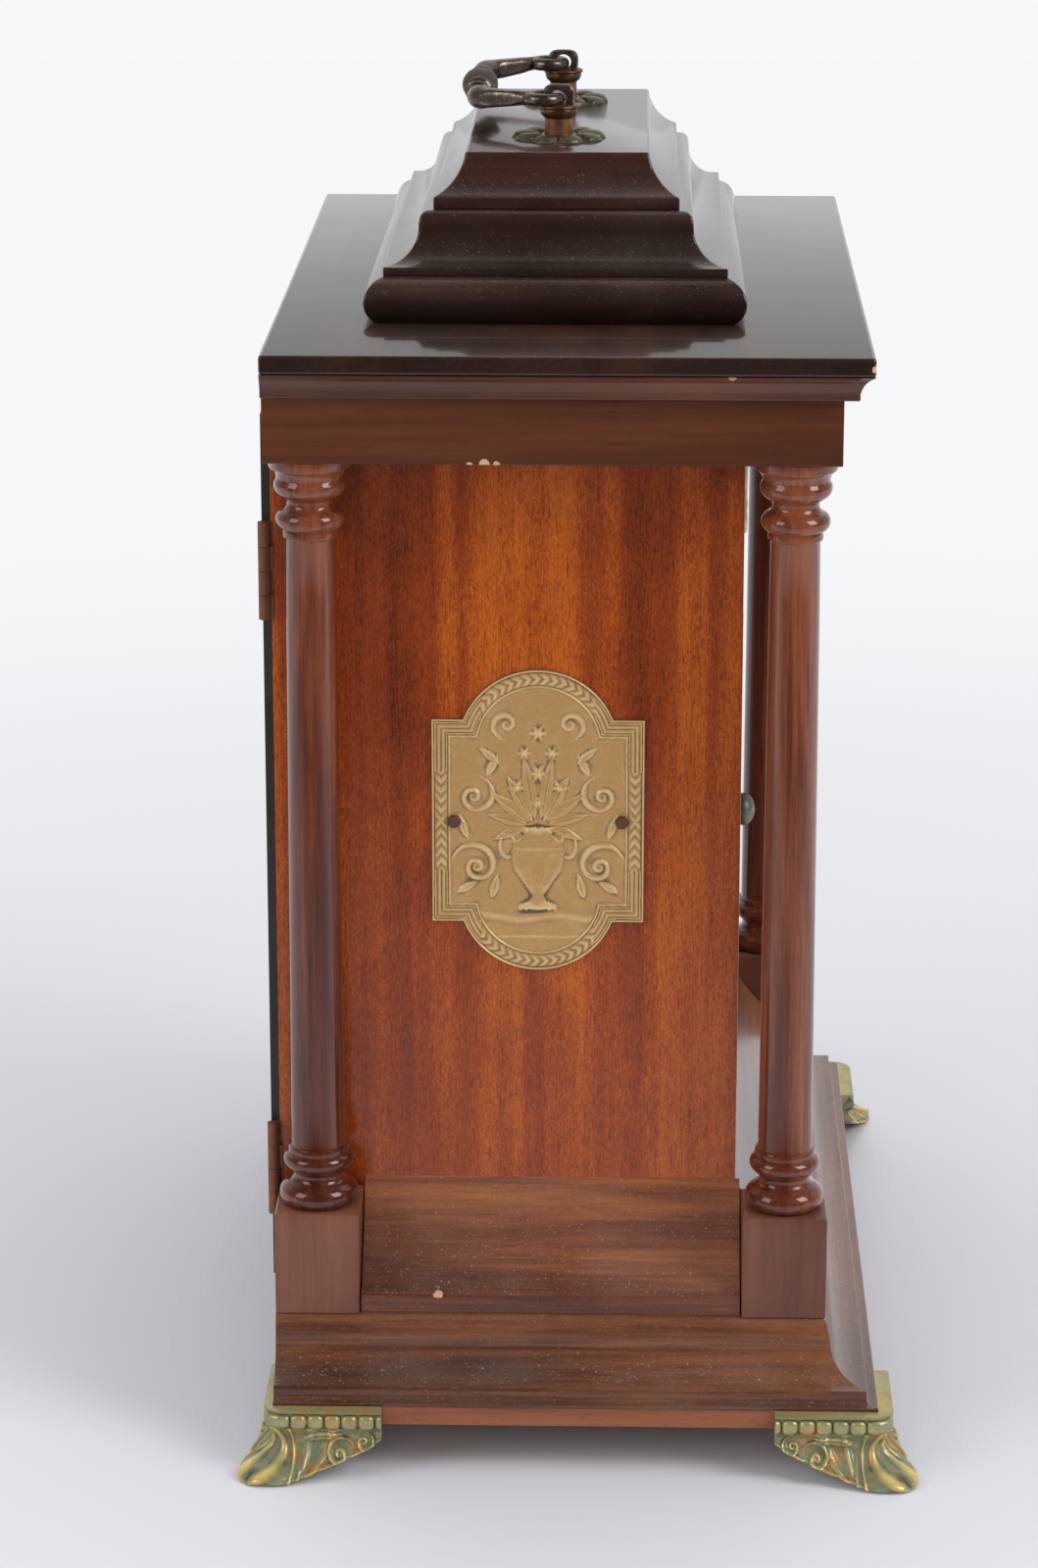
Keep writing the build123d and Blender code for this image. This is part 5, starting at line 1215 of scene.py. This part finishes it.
# Frets and spandrels: two castings ride in the upper corners of the door and four lie in the
# corners of the dial plate. Scrolls and leaves in low relief, pale on the door, yellow on the dial.
def corner_casting(name, center, r_from, corner_at, body, y_face, rise, finish, stands_for=()):
    """Relief in a corner, between the circle r_from and the two edges that meet at corner_at.

    Grid: angle a, and share s from the circle to the edges. Height = scrolls and leaves x edge falloff.
    """
    cx, cz = center
    sx, sz = np.sign(corner_at[0] - cx), np.sign(corner_at[1] - cz)
    wx, wz = abs(corner_at[0] - cx), abs(corner_at[1] - cz)
    out_r = r_from + 4
    low_a = np.arccos(wx / out_r) if out_r > wx else 0.02
    high_a = np.arcsin(wz / out_r) if out_r > wz else pi / 2 - 0.02
    a = np.linspace(low_a, high_a, 90)[:, None]
    edge = np.minimum(wx / np.cos(a), wz / np.sin(a))
    s = np.linspace(0, 1, 60)[None]
    r = r_from + (edge - r_from) * s
    x, z = r * np.cos(a), r * np.sin(a)
    falloff = np.clip(np.minimum(np.minimum(s, 1 - s) * (edge - r_from), (a - low_a) * r) / 1.2, 0, 1)
    falloff = falloff * np.clip((high_a - a) * r / 1.2, 0, 1)
    middle = r_from + 0.42 * (np.hypot(wx, wz) - r_from)
    mx, mz = middle * cos((low_a + high_a) / 2), middle * sin((low_a + high_a) / 2)
    scroll = np.maximum(
        spiral(x, z, mx + 7, mz - 8, 9, 0.2, 0.5, 1), spiral(x, z, mx - 8, mz + 7, 9, 0.2, 1.0, -1)
    )
    fan = leaf(x, z, mx - 3, mz - 3, pi / 4, 24, 5)
    for way in (-0.7, 0.7, -1.3, 1.3):
        fan = np.maximum(fan, 0.8 * leaf(x, z, mx - 2, mz - 2, pi / 4 + way, 15, 3))
    h = (0.25 + 0.75 * np.maximum(scroll, fan)) * rise * falloff + 0.15
    top = np.stack([cx + sx * x, y_face - h, cz + sz * z], -1)
    under = np.stack([cx + sx * x, y_face + 0 * x, cz + sz * z], -1)
    rings = np.concatenate([top, under[:, ::-1]], 1)
    made = solid(name, rings, body, finish, stands_for, crease=60)
    mark_relief(made, np.concatenate([h, h[:, ::-1]], 1), 5, 0.5)
    return made


# On the door frets the relief's hollows are darkened as dirt and painted shade, and its ridges lightened as
# wear and painted highlight.
fret_brass = cast_metal("pale_cast_brass", "a8976e", "e0d0a2", "43382a", 0.42, 0.8, 0.45, 0.6, relief=True)
fret_high = packed("door_frets")[1]
fret_size = 62.0
spandrel_half = 85.0
for sx, word in both_sides:
    stands = ["door_frets"] if sx < 0 else []
    corner_at = (sx * fret_high[0], fret_high[2])
    center = (sx * (fret_high[0] - fret_size), fret_high[2] - fret_size)
    corner_casting(
        f"door_fret_{word}", center, 33.0, corner_at, "front_door", fret_high[1], 1.75, fret_brass, stands
    )
for sx in (-1, 1):
    for sz in (-1, 1):
        word = f"{'lower' if sz < 0 else 'upper'}_{'left' if sx < 0 else 'right'}"
        corner_at = (dial_x + sx * (open_half - 1.0), dial_z + sz * spandrel_half)
        corner_casting(
            f"dial_spandrel_{word}", (dial_x, dial_z), outer + 1.2, corner_at, "case", plate_front, 1.9,
            dial_brass,
        )


# Movement: brass plates and pillars with three barrels, seen only with a door open. Rolled plate
# and turned bar, lacquered, so that it stays yellow with a mild shine.
plate_brass = cast_metal("movement_brass", "b49450", "ceb070", "8a6c38", 0.34, 3.0, 0.25)
finish_node(plate_brass, "movement_frame", "strike_barrel", "going_barrel", "chime_barrel")
